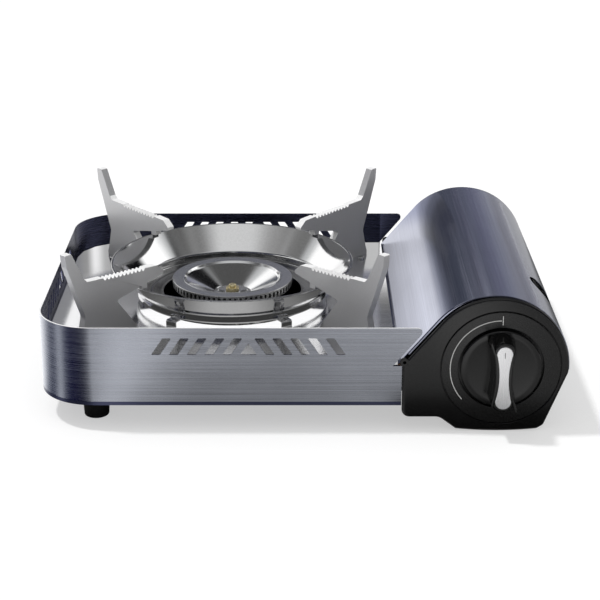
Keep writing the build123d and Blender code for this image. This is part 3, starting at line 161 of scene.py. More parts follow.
# each patch: azimuths, heights, softness of both, colour
PATCHES = (
    ((-181, 181), (77, 95), (1, 3), grey(0.16)),
    ((-105, 105), (54, 86), (10, 5), grey(0.09)),
    ((-25, 26), (16, 54), (5, 5), (0.28, 0.28, 0.3)),
    ((-62, -22), (8, 42), (4, 5), grey(1.3)),
    ((-12, -7), (21.3, 24), (1.5, 0.7), grey(0.9)),
    ((0.8, 3.6), (21, 24), (1, 0.6), (0.66, 0.66, 0.7)),
    ((15, 27), (-6, 9), (1.5, 2.5), (0.38, 0.38, 0.41)),
    ((66, 130), (-12, 13), (8, 3), grey(0.12)),
    ((16, 44), (7, 52), (4, 5), (0.005, 0.005, 0.006)),
    ((-32, -12), (-6, 4), (3, 1.2), grey(1.35)),
    ((46, 77), (16, 46), (4, 5), grey(1.45)),
    ((80, 97), (20, 56), (3, 6), grey(0.05)),
    ((97, 134), (30, 74), (24, 8), grey(0.2)),
    ((-92, -70), (26, 56), (4, 6), grey(0.18)),
    ((-124, -92), (34, 74), (22, 8), grey(0.33)),
    ((100, 181), (2, 42), (8, 6), (0.05, 0.052, 0.06)),
    ((-181, -80), (2, 22), (6, 4), (0.04, 0.045, 0.1)),
    ((-181, -100), (18, 42), (8, 6), (0.05, 0.052, 0.06)),
)


def build_world():
    world = bpy.data.worlds.new("studio")
    world.use_nodes = True
    tree = world.node_tree
    tree.nodes.clear()
    direction = new_node(tree, "TexCoord").outputs["Generated"]
    axes = new_node(tree, "SeparateXYZ", {0: direction}).outputs
    azimuth = times(tree, math_node(tree, "ARCTAN2", axes[0], axes[1]), DEGREES)
    height = times(tree, math_node(tree, "ARCSINE", axes[2]), DEGREES)
    colour = ramp(tree, height, ((0, grey(0.97)), (35, (0.62, 0.63, 0.64))))
    colour = mix_colour(tree, smooth_range(tree, height, 45, 90), colour, grey(0.8))
    band = (BAND_AZIMUTH, BAND_HEIGHT, BAND_SOFT, ramp(tree, azimuth, BAND))
    for azimuths, heights, soft, tone in (*PATCHES, band):
        across = inside_range(tree, azimuth, *azimuths, soft[0])
        up = inside_range(tree, height, *heights, soft[1])
        colour = mix_colour(tree, times(tree, across, up), colour, tone)

    def background(tone, strength=1):
        return new_node(tree, "Background", {"Color": tone, "Strength": strength}).outputs[0]

    path = new_node(tree, "LightPath").outputs
    gloss = math_node(tree, "MAXIMUM", path["Is Glossy Ray"], path["Is Transmission Ray"])
    studio = mix_shader(tree, gloss, background(WHITE, AMBIENT), background(colour))
    seen = mix_shader(tree, path["Is Camera Ray"], studio, background(WHITE))
    new_node(tree, "OutputWorld", {"Surface": seen})
    scene.world = world


build_world()


# ---------------- floor, cards and lamp
def new_mesh(name, shape):
    verts, faces = shape
    mesh = bpy.data.meshes.new(name)
    mesh.from_pydata([[c * MM for c in vert] for vert in verts], [], faces)
    return mesh


def stage_plane(name, corners, material, faces=None):
    obj = linked(name, new_mesh(name, (corners, faces or [tuple(range(len(corners)))])))
    obj.data.materials.append(material)
    return obj


def floor_material():
    """Pale paper; where the camera sees it, it is partly a glow, so that it stays white around the shadow."""
    mat, tree = new_material("floor_paper")
    grain = new_node(tree, "TexNoise", {"Scale": 900, "Detail": 2})
    tone = mix_colour(tree, grain.outputs["Fac"], grey(0.955), grey(0.985))
    paper = new_node(tree, "BsdfDiffuse", {"Color": tone})
    dimmed = mix_colour(tree, 1, tone, grey(0.56), "MULTIPLY")
    thin = new_node(tree, "BsdfDiffuse", {"Color": dimmed})
    glow = new_node(tree, "Emission", {"Color": WHITE, "Strength": 0.49})
    seen = new_node(tree, "AddShader", {0: thin.outputs[0], 1: glow.outputs[0]})
    camera_ray = new_node(tree, "LightPath").outputs["Is Camera Ray"]
    mixed = mix_shader(tree, camera_ray, paper.outputs[0], seen.outputs[0])
    new_node(tree, "OutputMaterial", {"Surface": mixed})
    return mat


FLOOR_HALF, FLOOR_LEVEL = 4000, -0.2
floor_corners = ((-1, -1), (1, -1), (1, 1), (-1, 1))
stage_plane("floor", [(x * FLOOR_HALF, y * FLOOR_HALF, FLOOR_LEVEL) for x, y in floor_corners],
            floor_material())


def card_material(name, tones, gain=None, zones=(), one_sided=False):
    """A glowing card. tones is a colour or (axis, stops), and gain, the same, multiplies it. An axis is 0, 1
    or 2, or a point (x, y) for the angle around it, clockwise from the front. Each zone is (x range, y range,
    softness, colour). A one-sided card shows only to the first reflection that meets its front."""
    mat, tree = new_material(name)
    coords = new_node(tree, "TexCoord").outputs["Object"]
    place = new_node(tree, "SeparateXYZ", {0: coords}).outputs

    def along(axis, stops):
        if isinstance(axis, int):
            return ramp(tree, times(tree, place[axis], 1 / MM), stops)
        left = math_node(tree, "SUBTRACT", axis[0] * MM, place[0])
        front = math_node(tree, "SUBTRACT", axis[1] * MM, place[1])
        turn = math_node(tree, "ARCTAN2", left, front)
        return ramp(tree, times(tree, turn, DEGREES), stops)

    tone = tones if len(tones) == 3 else along(*tones)
    if gain is not None:
        tone = mix_colour(tree, 1, tone, along(*gain), "MULTIPLY")
    for across, away, soft, value in zones:
        edges = [inside_range(tree, place[axis], low * MM, high * MM, soft * MM)
                 for axis, (low, high) in enumerate((across, away))]
        tone = mix_colour(tree, times(tree, *edges), tone, value)
    colour = (*tone, 1) if isinstance(tone, tuple) else tone
    glow = new_node(tree, "Emission", {"Color": colour, "Strength": 1}).outputs[0]
    if one_sided:
        side = new_node(tree, "NewGeometry").outputs["Backfacing"]
        depth = new_node(tree, "LightPath").outputs["Ray Depth"]
        hidden = math_node(tree, "MAXIMUM", side, math_node(tree, "GREATER_THAN", depth, 1.5))
        clear = new_node(tree, "BsdfTransparent").outputs[0]
        glow = mix_shader(tree, hidden, glow, clear)
    new_node(tree, "OutputMaterial", {"Surface": glow})
    return mat


def card(name, corners, tones, faces=None, **more):
    """A card that only shows in reflections."""
    obj = stage_plane(name, corners, card_material(name, tones, **more), faces)
    obj.visible_camera = obj.visible_diffuse = obj.visible_shadow = obj.visible_transmission = False


def quad_strip(count):
    """Faces between count + 1 pairs of points."""
    return [(2 * k, 2 * k + 2, 2 * k + 3, 2 * k + 1) for k in range(count)]


# the front wall, the knob and the left front corner see the floor through these
WALL_TONES = (
    (-150, grey(1.75)), (-128, grey(1.6)), (-104, grey(0.72)), (-82, grey(0.5)), (10, grey(0.5)),
    (50, grey(0.66)), (60, grey(0.76)), (67, grey(0.64)), (98, grey(0.64)), (108, grey(1.05)),
)
WALL_GAIN = ((-330, grey(1.2)), (-240, grey(1)), (-160, grey(0.72)))
KNOB_ZONES = (
    ((62, 900), (-172, 0), 5, grey(0)),
    ((105, 152), (-222, -168), 26, grey(0.25)),
    ((100, 156), (-420, -300), 26, grey(1.5)),
    ((155, 900), (-900, -160), 20, grey(0.42)),
    ((-900, 900), (-900, -430), 60, (0.1, 0.1, 0.12)),
)
card("card_floor_front", [(-139, -620, 0.6), (420, -620, 0.6), (420, -117, 0.6), (-139, -117, 0.6)],
     (0, WALL_TONES), gain=(1, WALL_GAIN), zones=KNOB_ZONES)
CORNER_MIDDLE = (-132, -98)
CORNER_TONES = (
    (2, grey(1.7)), (7, grey(0.65)), (12, grey(0.17, 0.03)), (18, grey(0.03, 0.03)),
    (27, (0, 0, 0.03)), (54, (0, 0, 0.05)), (64, (0.02, 0.03, 0.1)), (75, (1.15, 1.17, 1.2)),
    (88, (0.08, 0.09, 0.15)), (98, (0.08, 0.09, 0.14)), (110, grey(0.48, 0.08)), (124, grey(1.55)),
    (150, grey(2.1)),
)
corner_outline = [(-139, -700), (-139, -117), (-152, -113), (-163, -103), (-171.5, -85), (-171.5, 140),
                  (-700, 140), (-700, -700)]
card("card_floor_corner", [(x, y, 0.9) for x, y in corner_outline], (CORNER_MIDDLE, CORNER_TONES))
card("card_floor_back", [(175, -100, 0.9), (600, -100, 0.9), (1600, 2600, 0.9), (400, 2600, 0.9)], grey(0.5),
     zones=[((-900, 280), (-900, 320), 60, grey(0.1))])

# the lid sees these over the burner's side and over its back end
CARD_X, LID_CARD_TOP, LID_CARD_BACK = 60.6, 125, 129.85
LID_TONES = (
    (49, grey(0.72)), (60, grey(0.95)), (70, grey(1.2)), (80, grey(1.05)), (88, grey(0.6, 0.05)),
    (95, grey(0.32, 0.05)), (104, grey(0.16, 0.04)), (116, grey(0.1, 0.03)),
)
LID_BACK_TONES = (
    (76, grey(1.2)), (83, grey(0.7)), (90, grey(0.34)), (98, grey(0.17)), (108, grey(0.12, 0.02)),
)
side_edge = [(-112, 48.2), (129.8, 48.2), (129.8, LID_CARD_TOP), (-112, LID_CARD_TOP)]
card("card_lid_side", [(CARD_X, y, z) for y, z in side_edge], (2, LID_TONES),
     gain=(1, ((-70, grey(1.18)), (50, grey(1)), (129, grey(0.85)))), one_sided=True)
back_edge = [(CARD_X, 47.6), (63.2, 47.6), (85.2, 75), (91, 80.6), (97, 85), (104, 88.8), (104, LID_CARD_TOP),
             (CARD_X, LID_CARD_TOP)]
card("card_lid_back", [(x, LID_CARD_BACK, z) for x, z in back_edge], (2, LID_BACK_TONES),
     gain=(0, ((66, grey(1)), (86, (0.62, 0.64, 0.74)))), one_sided=True)


def ring_card(name, inner, outer, level, start, end, tones, looks_down=False):
    """A card like a part of a flat ring around the burner, in steps of 5 degrees."""
    steps = round((end - start) / 5)
    turns = [radians(start + (end - start) * k / steps) for k in range(steps + 1)]
    points = [(BURNER[0] + r * cos(t), BURNER[1] + r * sin(t), level)
              for t in turns for r in (inner, outer)]
    faces = quad_strip(steps)
    if not looks_down:
        faces = [tuple(reversed(face)) for face in faces]
    card(name, points, tones, faces=faces, one_sided=True)


# the bowl's cone and skirt see these on the tray, and the tray sees one under the bowl
CONE_TONES = (
    (-118, grey(0.1)), (-92, grey(0.17)), (-56, grey(0.46)), (-40, grey(0.46)), (-6, grey(0.22)),
    (20, grey(0.1)),
)
RING_LEVEL = 47.95
ring_card("card_under_cone", 55, 75.5, RING_LEVEL, 195, 345, (0, CONE_TONES))
ring_card("card_under_skirt", 75.5, 104, RING_LEVEL, 205, 335, grey(0.05))
ring_card("card_under_bowl", 40, 66.4, 51.2, 195, 345, grey(1.2), looks_down=True)

# the tray sees these above the left wall and on the inside of the wrap
above_edge = [(-60, 70.6), (130, 70.6), (130, 112), (-60, 112)]
card("card_above_left", [(-171.6, y, z) for y, z in above_edge], grey(1.15), one_sided=True)
SIDE_TONES = (
    (-170, grey(0.26, 0.02)), (-165, grey(0.34)), (-159, grey(1)), (-151, grey(0.5)),
    (-138, grey(0.4)), (-90, grey(0.45)), (40, grey(0.6)),
)
side_path = [(-169, -75), (-169, 94), (-166.3, 107.4), (-158.7, 118.7), (-147.4, 126.3), (-134, 129),
             (60, 129)]
card("card_walls", [(x, y, z) for x, y in side_path for z in (47.5, 70.2)], (0, SIDE_TONES),
     faces=quad_strip(len(side_path) - 1), one_sided=True)


key_light = bpy.data.lights.new("key_light", "SUN")
key_light.energy = 1.75
key_light.angle = radians(5)
sun = linked("key_light", key_light)
sun.rotation_euler = Vector((-0.45, 0.08, 1)).to_track_quat("Z", "Y").to_euler()
sun.visible_glossy = False


# ---------------- materials
def surface(name, colour, rough, metal, grain, tone, rough_spread, bump, bump_scale=0.00005, aniso=0,
            tangent=None, coat=0, spec=0.5):
    """grain is the number of grains in a metre, one for all axes or one for each. tone and rough_spread say
    how far colour and roughness vary with it, and bump_scale is its depth in metres. tangent is the way of
    the brushing: level lines, lines along Y, or none."""
    mat = bpy.data.materials.new(name)
    mat.use_nodes = True
    tree = mat.node_tree
    shader = tree.nodes["Principled BSDF"].inputs
    coords = new_node(tree, "TexCoord").outputs["Object"]
    scale = grain if isinstance(grain, tuple) else (grain, grain, grain)
    mapped = new_node(tree, "Mapping", {"Vector": coords, "Scale": scale}).outputs[0]
    grains = {"Vector": mapped, "Scale": 1, "Detail": 4, "Roughness": 0.62}
    patches = {"Vector": coords, "Scale": 26, "Detail": 3}
    fine = new_node(tree, "TexNoise", grains).outputs["Fac"]
    broad = new_node(tree, "TexNoise", patches).outputs["Fac"]
    swing = smooth_range(tree, fine, 0.28, 0.72, 1 - tone, 1 + tone)
    drift = smooth_range(tree, broad, 0.3, 0.7, 1 - 0.25 * tone, 1 + 0.25 * tone)
    swing = times(tree, swing, drift)
    even = new_node(tree, "CombineXYZ", {0: swing, 1: swing, 2: swing}).outputs[0]
    roughness = smooth_range(tree, fine, 0.25, 0.75, max(0.02, rough - rough_spread), rough + rough_spread)
    feed(tree, shader, {"Base Color": mix_colour(tree, 1, colour, even, "MULTIPLY"), "Roughness": roughness,
                        "Metallic": metal, "Specular IOR Level": spec, "Anisotropic": aniso})
    if coat:
        feed(tree, shader, {"Coat Weight": coat, "Coat Roughness": 0.05})
    if tangent == "level":
        normal = new_node(tree, "NewGeometry").outputs["Normal"]
        pair = {0: normal, 1: (0, 0, 1)}
        level = new_node(tree, "VectorMath", pair, operation="CROSS_PRODUCT")
        tree.links.new(level.outputs[0], shader["Tangent"])
    elif tangent == "along":
        along = new_node(tree, "CombineXYZ", {0: 0, 1: 1, 2: 0})
        tree.links.new(along.outputs[0], shader["Tangent"])
    bumped = new_node(tree, "Bump", {"Height": fine, "Strength": bump, "Distance": bump_scale})
    tree.links.new(bumped.outputs[0], shader["Normal"])
    return mat


BRUSHED_LEVEL, BRUSHED_LID = (6, 6, 2600), (2200, 7, 2200)
WRAP = surface("wrap_steel", (0.375, 0.39, 0.435), 0.27, 1, BRUSHED_LEVEL, 0.22, 0.06, 0.25, 0.00004,
               0.6, "level")
# a bright plain material for painted highlights: the thin bright line along the wrap's top edge, and the
# bright bevels and top faces of the pan arms
EDGE_HIGHLIGHT = surface("painted_edge_highlight", grey(0.92), 0.4, 0, 900, 0.05, 0.05, 0.1)
WRAP_INSIDE = surface("wrap_inside", (0.085, 0.09, 0.15), 0.28, 1, BRUSHED_LEVEL, 0.08, 0.05, 0.2, 0.00004,
                      0.6, "level")
LID = surface("lid_steel", (0.35, 0.365, 0.455), 0.14, 1, BRUSHED_LID, 0.1, 0.04, 0.25, 0.00004,
              0.3, "along")
LID_INSIDE = surface("lid_inside", (0.02, 0.02, 0.025), 0.4, 0.5, BRUSHED_LID, 0.1, 0.04, 0.2)
BASE = surface("base_steel", (0.055, 0.06, 0.11), 0.35, 0.8, (5, 5, 1500), 0.1, 0.05, 0.2)
TRAY = surface("tray_steel", (0.8, 0.8, 0.81), 0.14, 1, (8, 1500, 1500), 0.04, 0.04, 0.12, 0.00002)
BOWL = surface("bowl_steel", grey(0.78), 0.09, 1, 700, 0.03, 0.02, 0.06, 0.00002)
# a darker, rougher copy of the bowl steel, for painted shade on the bowl's floor around the burner
BOWL_FLOOR_SHADE = surface("bowl_floor_painted_shade", grey(0.27), 0.22, 1, 700, 0.04, 0.03, 0.08, 0.00002)
ARM = surface("arm_enamel", (0.56, 0.56, 0.57), 0.36, 0.4, 1400, 0.04, 0.04, 0.1, 0.00003)
HEAD = surface("head_steel", grey(0.7), 0.22, 1, 900, 0.04, 0.04, 0.12)
FUNNEL = surface("funnel_steel", grey(0.78), 0.15, 1, 700, 0.03, 0.02, 0.06)
CAST = surface("cast_aluminium", (0.55, 0.55, 0.54), 0.5, 1, 500, 0.1, 0.08, 0.4)
BRASS = surface("brass", (0.92, 0.8, 0.48), 0.3, 1, 900, 0.05, 0.05, 0.15)
COPPER = surface("copper_pipe", (0.75, 0.42, 0.27), 0.25, 1, 600, 0.06, 0.05, 0.15)
PLAIN = surface("plain_steel", grey(0.56), 0.32, 1, (9, 900, 900), 0.06, 0.06, 0.2)
SCREW = surface("screw_steel", grey(0.66), 0.25, 1, 900, 0.05, 0.05, 0.15)
HEAT = surface("heat_aluminium", grey(0.72), 0.38, 1, (900, 8, 900), 0.06, 0.05, 0.2)
TROUGH = surface("trough_steel", (0.05, 0.055, 0.075), 0.38, 0.5, (900, 8, 900), 0.1, 0.05, 0.2)
BLACK = surface("black_plastic", grey(0.005), 0.24, 0, 2600, 0.12, 0.04, 0.15, 0.00003)
DIAL_BLACK = surface("dial_plastic", grey(0.007), 0.27, 0, 2600, 0.1, 0.04, 0.15, 0.00003)
KNOB_BLACK = surface("knob_plastic", grey(0.003), 0.16, 0, 2600, 0.1, 0.03, 0.1, 0.00002)
PRINT = surface("dial_print", (0.55, 0.55, 0.54), 0.5, 0, 2600, 0.06, 0.05, 0.1)
MARK = surface("mark_print", grey(0.05), 0.4, 0, 2600, 0.06, 0.05, 0.1)
INSERT = surface("insert_aluminium", (0.85, 0.85, 0.86), 0.28, 1, (2600, 2600, 12), 0.05, 0.04,
                 0.15, 0.00003)
RUBBER = surface("rubber", grey(0.002), 0.55, 0, 900, 0.15, 0.08, 0.3, spec=0.15)
MAGNET = surface("magnet", grey(0.1), 0.4, 0.6, 900, 0.1, 0.05, 0.2)
CERAMIC = surface("ceramic", (0.86, 0.85, 0.82), 0.3, 0, 500, 0.04, 0.05, 0.1, coat=0.4)
ELECTRODE = surface("electrode_steel", grey(0.5), 0.3, 1, 900, 0.08, 0.05, 0.2)
# the ignition lead's black rubber, also used as painted shade inside the burner head's slots
LEAD_AND_SLOT_SHADE = surface("lead_rubber", grey(0.03), 0.5, 0, 900, 0.1, 0.08, 0.3)

NODE_MATERIALS = {
    WRAP: ["body_shell"], LID: ["gas_lid"], BASE: ["base_pan"], TRAY: ["drip_tray"],
    BOWL: ["pan_bowl", "bowl_legs"],
    ARM: ["pan_arm_front_left", "pan_arm_front_right", "pan_arm_back_left", "pan_arm_back_right"],
    HEAD: ["burner_head", "burner_washer"], FUNNEL: ["burner_funnel"],
    CAST: ["burner_body", "regulator_body"],
    BRASS: ["burner_stud", "burner_nut", "gas_nozzle", "cartridge_seat"], COPPER: ["gas_pipe"],
    PLAIN: ["partition", "tray_brackets", "burner_bracket", "mixing_tube", "air_shutter", "nozzle_bracket",
            "bay_bulkhead", "electrode_bracket", "cartridge_cradle", "valve_spindle"],
    SCREW: ["tray_screws", "burner_screws", "regulator_screws", "foot_screws", "housing_screws",
            "lid_hinge_pins"],
    HEAT: ["heat_plate", "regulator_cap"], TROUGH: ["bay_trough"],
    BLACK: ["front_housing", "rear_housing", "piezo_igniter", "ignition_cam"], DIAL_BLACK: ["dial_plate"],
    KNOB_BLACK: ["control_knob"], INSERT: ["knob_insert"], RUBBER: ["rubber_feet", "inlet_seal"],
    MAGNET: ["seat_magnet"], CERAMIC: ["electrode_insulator"], ELECTRODE: ["ignition_electrode"],
    LEAD_AND_SLOT_SHADE: ["ignition_lead"],
}
for material, names in NODE_MATERIALS.items():
    for name in names:
        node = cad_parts[name]
        if not node.material_slots:
            node.data.materials.append(material)
        for slot in node.material_slots:
            slot.material = material


# ---------------- shapes
def rounded(points, radii, steps=6):
    """The polyline with its inner corners turned into arcs. radii is one number or one per inner corner."""
    if not isinstance(radii, (tuple, list)):
        radii = [radii] * (len(points) - 2)
    out = [Vector(points[0])]
    for index in range(1, len(points) - 1):
        corner = Vector(points[index])
        before = Vector(points[index - 1]) - corner
        after = Vector(points[index + 1]) - corner
        angle = before.angle(after)
        radius = radii[index - 1]
        if radius <= 0.0 or angle > pi - 1e-3:
            out.append(corner)
            continue
        reach = min(radius / tan(angle / 2), 0.49 * before.length, 0.49 * after.length)
        radius = reach * tan(angle / 2)
        before.normalize()
        after.normalize()
        middle = corner + (before + after).normalized() * (radius / sin(angle / 2))
        start = corner + before * reach - middle
        end = corner + after * reach - middle
        sweep = start.angle(end)
        for step in range(steps + 1):
            share = step / steps
            if sweep < 1e-6:
                point = start
            else:
                point = start * sin((1 - share) * sweep) + end * sin(share * sweep)
                point = point / sin(sweep)
            out.append(middle + point)
    out.append(Vector(points[-1]))
    return out


def rounded_loop(points, radii, steps=6):
    """A closed outline with its corners turned into arcs."""
    count = len(points)
    if not isinstance(radii, (tuple, list)):
        radii = [radii] * count
    out = []
    for index in range(count):
        last, corner, following = (Vector(points[k % count]) for k in (index - 1, index, index + 1))
        before = (last - corner) / 2 + corner
        after = (following - corner) / 2 + corner
        out += rounded([before, corner, after], radii[index], steps)[1:-1]
    return out


def offset_path(points, distance):
    """The polyline moved to its left by a distance, with mitred corners."""
    lines = []
    for a, b in zip(points, points[1:]):
        a, b = Vector(a), Vector(b)
        way = (b - a).normalized()
        side = Vector((-way.y, way.x)) * distance
        lines.append((a + side, b + side))
    moved = [lines[0][0]]
    for (a, b), (c, d) in zip(lines, lines[1:]):
        u, v = b - a, d - c
        cross = u.x * v.y - u.y * v.x
        if abs(cross) < 1e-9:
            moved.append(b)
            continue
        t = ((c - a).x * v.y - (c - a).y * v.x) / cross
        moved.append(a + u * t)
    moved.append(lines[-1][1])
    return moved


def arc(centre, radius, start, end, steps):
    turns = [radians(start + (end - start) * k / steps) for k in range(steps + 1)]
    return [Vector((centre[0] + radius * cos(turn), centre[1] + radius * sin(turn))) for turn in turns]


def merged(points, gap=1e-4):
    """A closed outline without repeated points."""
    out = []
    for point in points:
        if not out or (Vector(point) - out[-1]).length > gap:
            out.append(Vector(point))
    if (out[0] - out[-1]).length <= gap:
        out.pop()
    return out


def row_faces(rows, count, closed=False):
    """Faces between rows of points, each row a ring. closed also joins the last row to the first."""
    faces = []
    for row in range(rows if closed else rows - 1):
        after = (row + 1) % rows
        for k in range(count):
            m = (k + 1) % count
            faces.append((row * count + k, after * count + k, after * count + m, row * count + m))
    return faces


NEAR_AXIS = 0.0001


def lathe(profile, segments, place):
    """A closed profile of (radius, level) points turned about an axis."""
    verts = []
    for index in range(segments):
        turn = 2 * pi * index / segments
        verts += [place(p[0] * cos(turn), p[0] * sin(turn), p[1]) for p in profile]
    return verts, row_faces(segments, len(profile), closed=True)


def loft(loops, place, close_first=False, close_last=True):
    """Faces between loops of the same number of points, each with its own level."""
    count = len(loops[0][0])
    verts = [place(p[0], p[1], level) for loop, level in loops for p in loop]
    faces = [(a, d, c, b) for a, b, c, d in row_faces(len(loops), count)]
    if close_first:
        faces.append(tuple(reversed(range(count))))
    if close_last:
        faces.append(tuple(range(len(verts) - count, len(verts))))
    return verts, faces


def inset_loop(loop, distance):
    """The outline drawn inwards (it runs anticlockwise), corner by corner."""
    out = []
    for k, point in enumerate(loop):
        before = (point - loop[k - 1]).normalized()
        after = (loop[(k + 1) % len(loop)] - point).normalized()
        normal = Vector((-(before + after).y, (before + after).x)).normalized()
        scale = 1 / max(0.35, normal.dot(Vector((-before.y, before.x))))
        out.append(point + normal * distance * scale)
    return out


def holds(loop, x, y):
    """Whether a point lies inside a closed outline."""
    inside = False
    for a, b in zip(loop, [*loop[1:], loop[0]]):
        if (a[1] > y) != (b[1] > y) and x < a[0] + (y - a[1]) / (b[1] - a[1]) * (b[0] - a[0]):
            inside = not inside
    return inside


def fill(outline, holes=()):
    """Triangles of an outline with holes, as (points, faces)."""
    points, edges = [], []
    for loop in (outline, *holes):
        base = len(points)
        points += [Vector((p[0], p[1])) for p in loop]
        edges += [(base + k, base + (k + 1) % len(loop)) for k in range(len(loop))]
    flat, _, tris, _, _, _ = delaunay_2d_cdt(points, edges, [], 0, 1e-7)
    kept = []
    for tri in tris:
        x = sum(flat[k].x for k in tri) / len(tri)
        y = sum(flat[k].y for k in tri) / len(tri)
        if holds(outline, x, y) and not any(holds(hole, x, y) for hole in holes):
            kept.append(tuple(tri))
    return flat, kept


def prism(outline, holes, low, high, place):
    """An outline with holes drawn out between two levels."""
    outline = merged(outline)
    holes = [merged(hole) for hole in holes]
    flat, tris = fill(outline, holes)
    verts = [place(p[0], p[1], level) for level in (low, high) for p in flat]
    count = len(flat)
    faces = tris + [tuple(count + k for k in reversed(tri)) for tri in tris]
    base = 2 * count
    for loop in (outline, *holes):
        size = len(loop)
        verts += [place(p[0], p[1], level) for level in (low, high) for p in loop]
        for k in range(size):
            m = (k + 1) % size
            faces.append((base + k, base + m, base + size + m, base + size + k))
        base += 2 * size
    return verts, faces


def joined(*parts):
    verts, faces = [], []
    for part_verts, part_faces in parts:
        base = len(verts)
        verts += part_verts
        faces += [tuple(base + k for k in face) for face in part_faces]
    return verts, faces


def upright(x, y, z):
    return (x + BURNER[0], y + BURNER[1], z)


def radial(angle):
    """Places (radius, height, sideways) points in the upright plane through the burner's axis at an angle."""
    turn = radians(angle)
    return lambda r, z, w: (BURNER[0] + r * cos(turn) - w * sin(turn),
                            BURNER[1] + r * sin(turn) + w * cos(turn), z)


def front_view(x, z, y):
    return (x, y, z)


def dial_view(x, z, y):
    return (DIAL[0] + x, y, DIAL[1] + z)


def from_burner(point):
    return hypot(point.x - BURNER[0], point.y - BURNER[1])


# ---------------- pieces
WELD = 2e-6  # metres


def piece(name, shape, material, body, hides=(), bevel=0, segments=2, limit=30, smooth=40,
          solid=None, inside=None, cutters=(), weighted=True, turned=False, extra=(), paint=None):
    """One piece of the visible model. solid thickens a sheet, turned makes its faces look outwards first, and
    paint gives a face's material from its centre in mm, its normal and its old material."""
    mesh = new_mesh(name, shape)
    for other in (material, *([inside] if inside else []), *extra):
        mesh.materials.append(other)
    work = bmesh.new()
    work.from_mesh(mesh)
    bmesh.ops.remove_doubles(work, verts=work.verts, dist=WELD)
    bmesh.ops.dissolve_limit(work, angle_limit=radians(0.2), verts=work.verts, edges=work.edges)
    bmesh.ops.recalc_face_normals(work, faces=work.faces)
    if turned and sum(f.normal.y * f.calc_center_median().y * f.calc_area() for f in work.faces) < 0:
        bmesh.ops.reverse_faces(work, faces=work.faces)
    work.to_mesh(mesh)
    work.free()
    obj = linked(name, mesh)
    if solid is not None:
        mod = obj.modifiers.new("solid", "SOLIDIFY")
        mod.thickness = solid * MM
        mod.offset = -1
        mod.use_even_offset = True
        mod.material_offset = 1
        mod.material_offset_rim = 1
    for tool in cutters:
        mod = obj.modifiers.new("cut", "BOOLEAN")
        mod.operation = "DIFFERENCE"
        mod.solver = "EXACT"
        mod.object = tool
    if bevel > 0.0:
        mod = obj.modifiers.new("edge", "BEVEL")
        mod.width = bevel * MM
        mod.segments = segments
        mod.limit_method = "ANGLE"
        mod.angle_limit = radians(limit)
        mod.use_clamp_overlap = True
        mod.miter_outer = "MITER_ARC" if segments > 1 else "MITER_SHARP"
    finished = bpy.data.meshes.new_from_object(obj.evaluated_get(bpy.context.evaluated_depsgraph_get()))
    obj.modifiers.clear()
    if paint is not None:
        for face in finished.polygons:
            face.material_index = paint(face.center / MM, face.normal, face.material_index)
    finished.name = name
    obj.data = finished
    bpy.data.meshes.remove(mesh)
    finished.shade_smooth()
    finished.set_sharp_from_angle(angle=radians(smooth))
    if weighted:
        obj.modifiers.new("faces", "WEIGHTED_NORMAL").keep_sharp = True
    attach(obj, body)
    if hides:
        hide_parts(*hides)
    return obj


def cutter(shape):
    mesh = new_mesh("cutter", shape)
    work = bmesh.new()
    work.from_mesh(mesh)
    bmesh.ops.recalc_face_normals(work, faces=work.faces)
    work.to_mesh(mesh)
    work.free()
    return linked("cutter", mesh)


# ---------------- wrap
WRAP_LOW, WRAP_HIGH, CORNER = 19.7, 70.3, 37
WALL_END, NOTCH, NOTCH_X, SLOPE_TOP = 64, 44.4, 58.18, 79.92
VENT_LEVEL, VENT_HIGH, VENT_WIDE, VENT_PITCH, VENT_LEAN, VENT_OUT = 52.1, 11.3, 5.6, 11.3, 7.5, 62


def vents(middle):
    """The slots of one row, leaning towards a small triangle."""
    loops = []
    top = VENT_LEVEL + VENT_HIGH
    for side in (-1, 1):
        for index in range(5):
            foot = VENT_OUT - index * VENT_PITCH
            low = [(middle + side * x, VENT_LEVEL) for x in (foot, foot - VENT_WIDE)]
            high = [(middle + side * x, top) for x in (foot - VENT_WIDE - VENT_LEAN, foot - VENT_LEAN)]
            loops.append(low + high)
    half = VENT_OUT - 5 * VENT_PITCH
    peak = (middle, VENT_LEVEL + half * VENT_HIGH / VENT_LEAN)
    loops.append([(middle - half, VENT_LEVEL), (middle + half, VENT_LEVEL), peak])
    return [rounded_loop(loop, 0.45, 3) for loop in loops]


def wrap_shape():
    notch = [(WALL_END, WRAP_LOW), (WALL_END, NOTCH), (NOTCH_X, NOTCH)]
    start = LEFT + CORNER
    tip = rounded([(NOTCH_X, NOTCH), (SLOPE_TOP, WRAP_HIGH), (start, WRAP_HIGH)], 3)[1:-1]
    long_side = [(start, WRAP_LOW), *notch, *tip, (start, WRAP_HIGH)]
    ends = (FRONT + CORNER, BACK - CORNER)
    short_side = [(ends[0], WRAP_LOW), (ends[1], WRAP_LOW), (ends[1], WRAP_HIGH), (ends[0], WRAP_HIGH)]
    parts = []
    for level in (FRONT, BACK):
        flat, tris = fill(merged(long_side), vents(BURNER[0] + 15))
        parts.append(([(p[0], level, p[1]) for p in flat], tris))
    flat, tris = fill(merged(short_side), vents(BURNER[1]))
    parts.append(([(LEFT, p[0], p[1]) for p in flat], tris))
    for y, turn in ((ends[0], 180), (ends[1], 90)):
        bend = arc((start, y), CORNER, turn, turn + 90, 36)
        parts.append(([(p.x, p.y, z) for p in bend for z in (WRAP_LOW, WRAP_HIGH)], quad_strip(36)))
    return joined(*parts)


# painted highlight: the upward faces along the wall's top edge get the bright edge material
def wrap_highlight_paint(at, way, old):
    return 2 if way.z > 0.3 and at.z > WRAP_HIGH - 0.6 else old


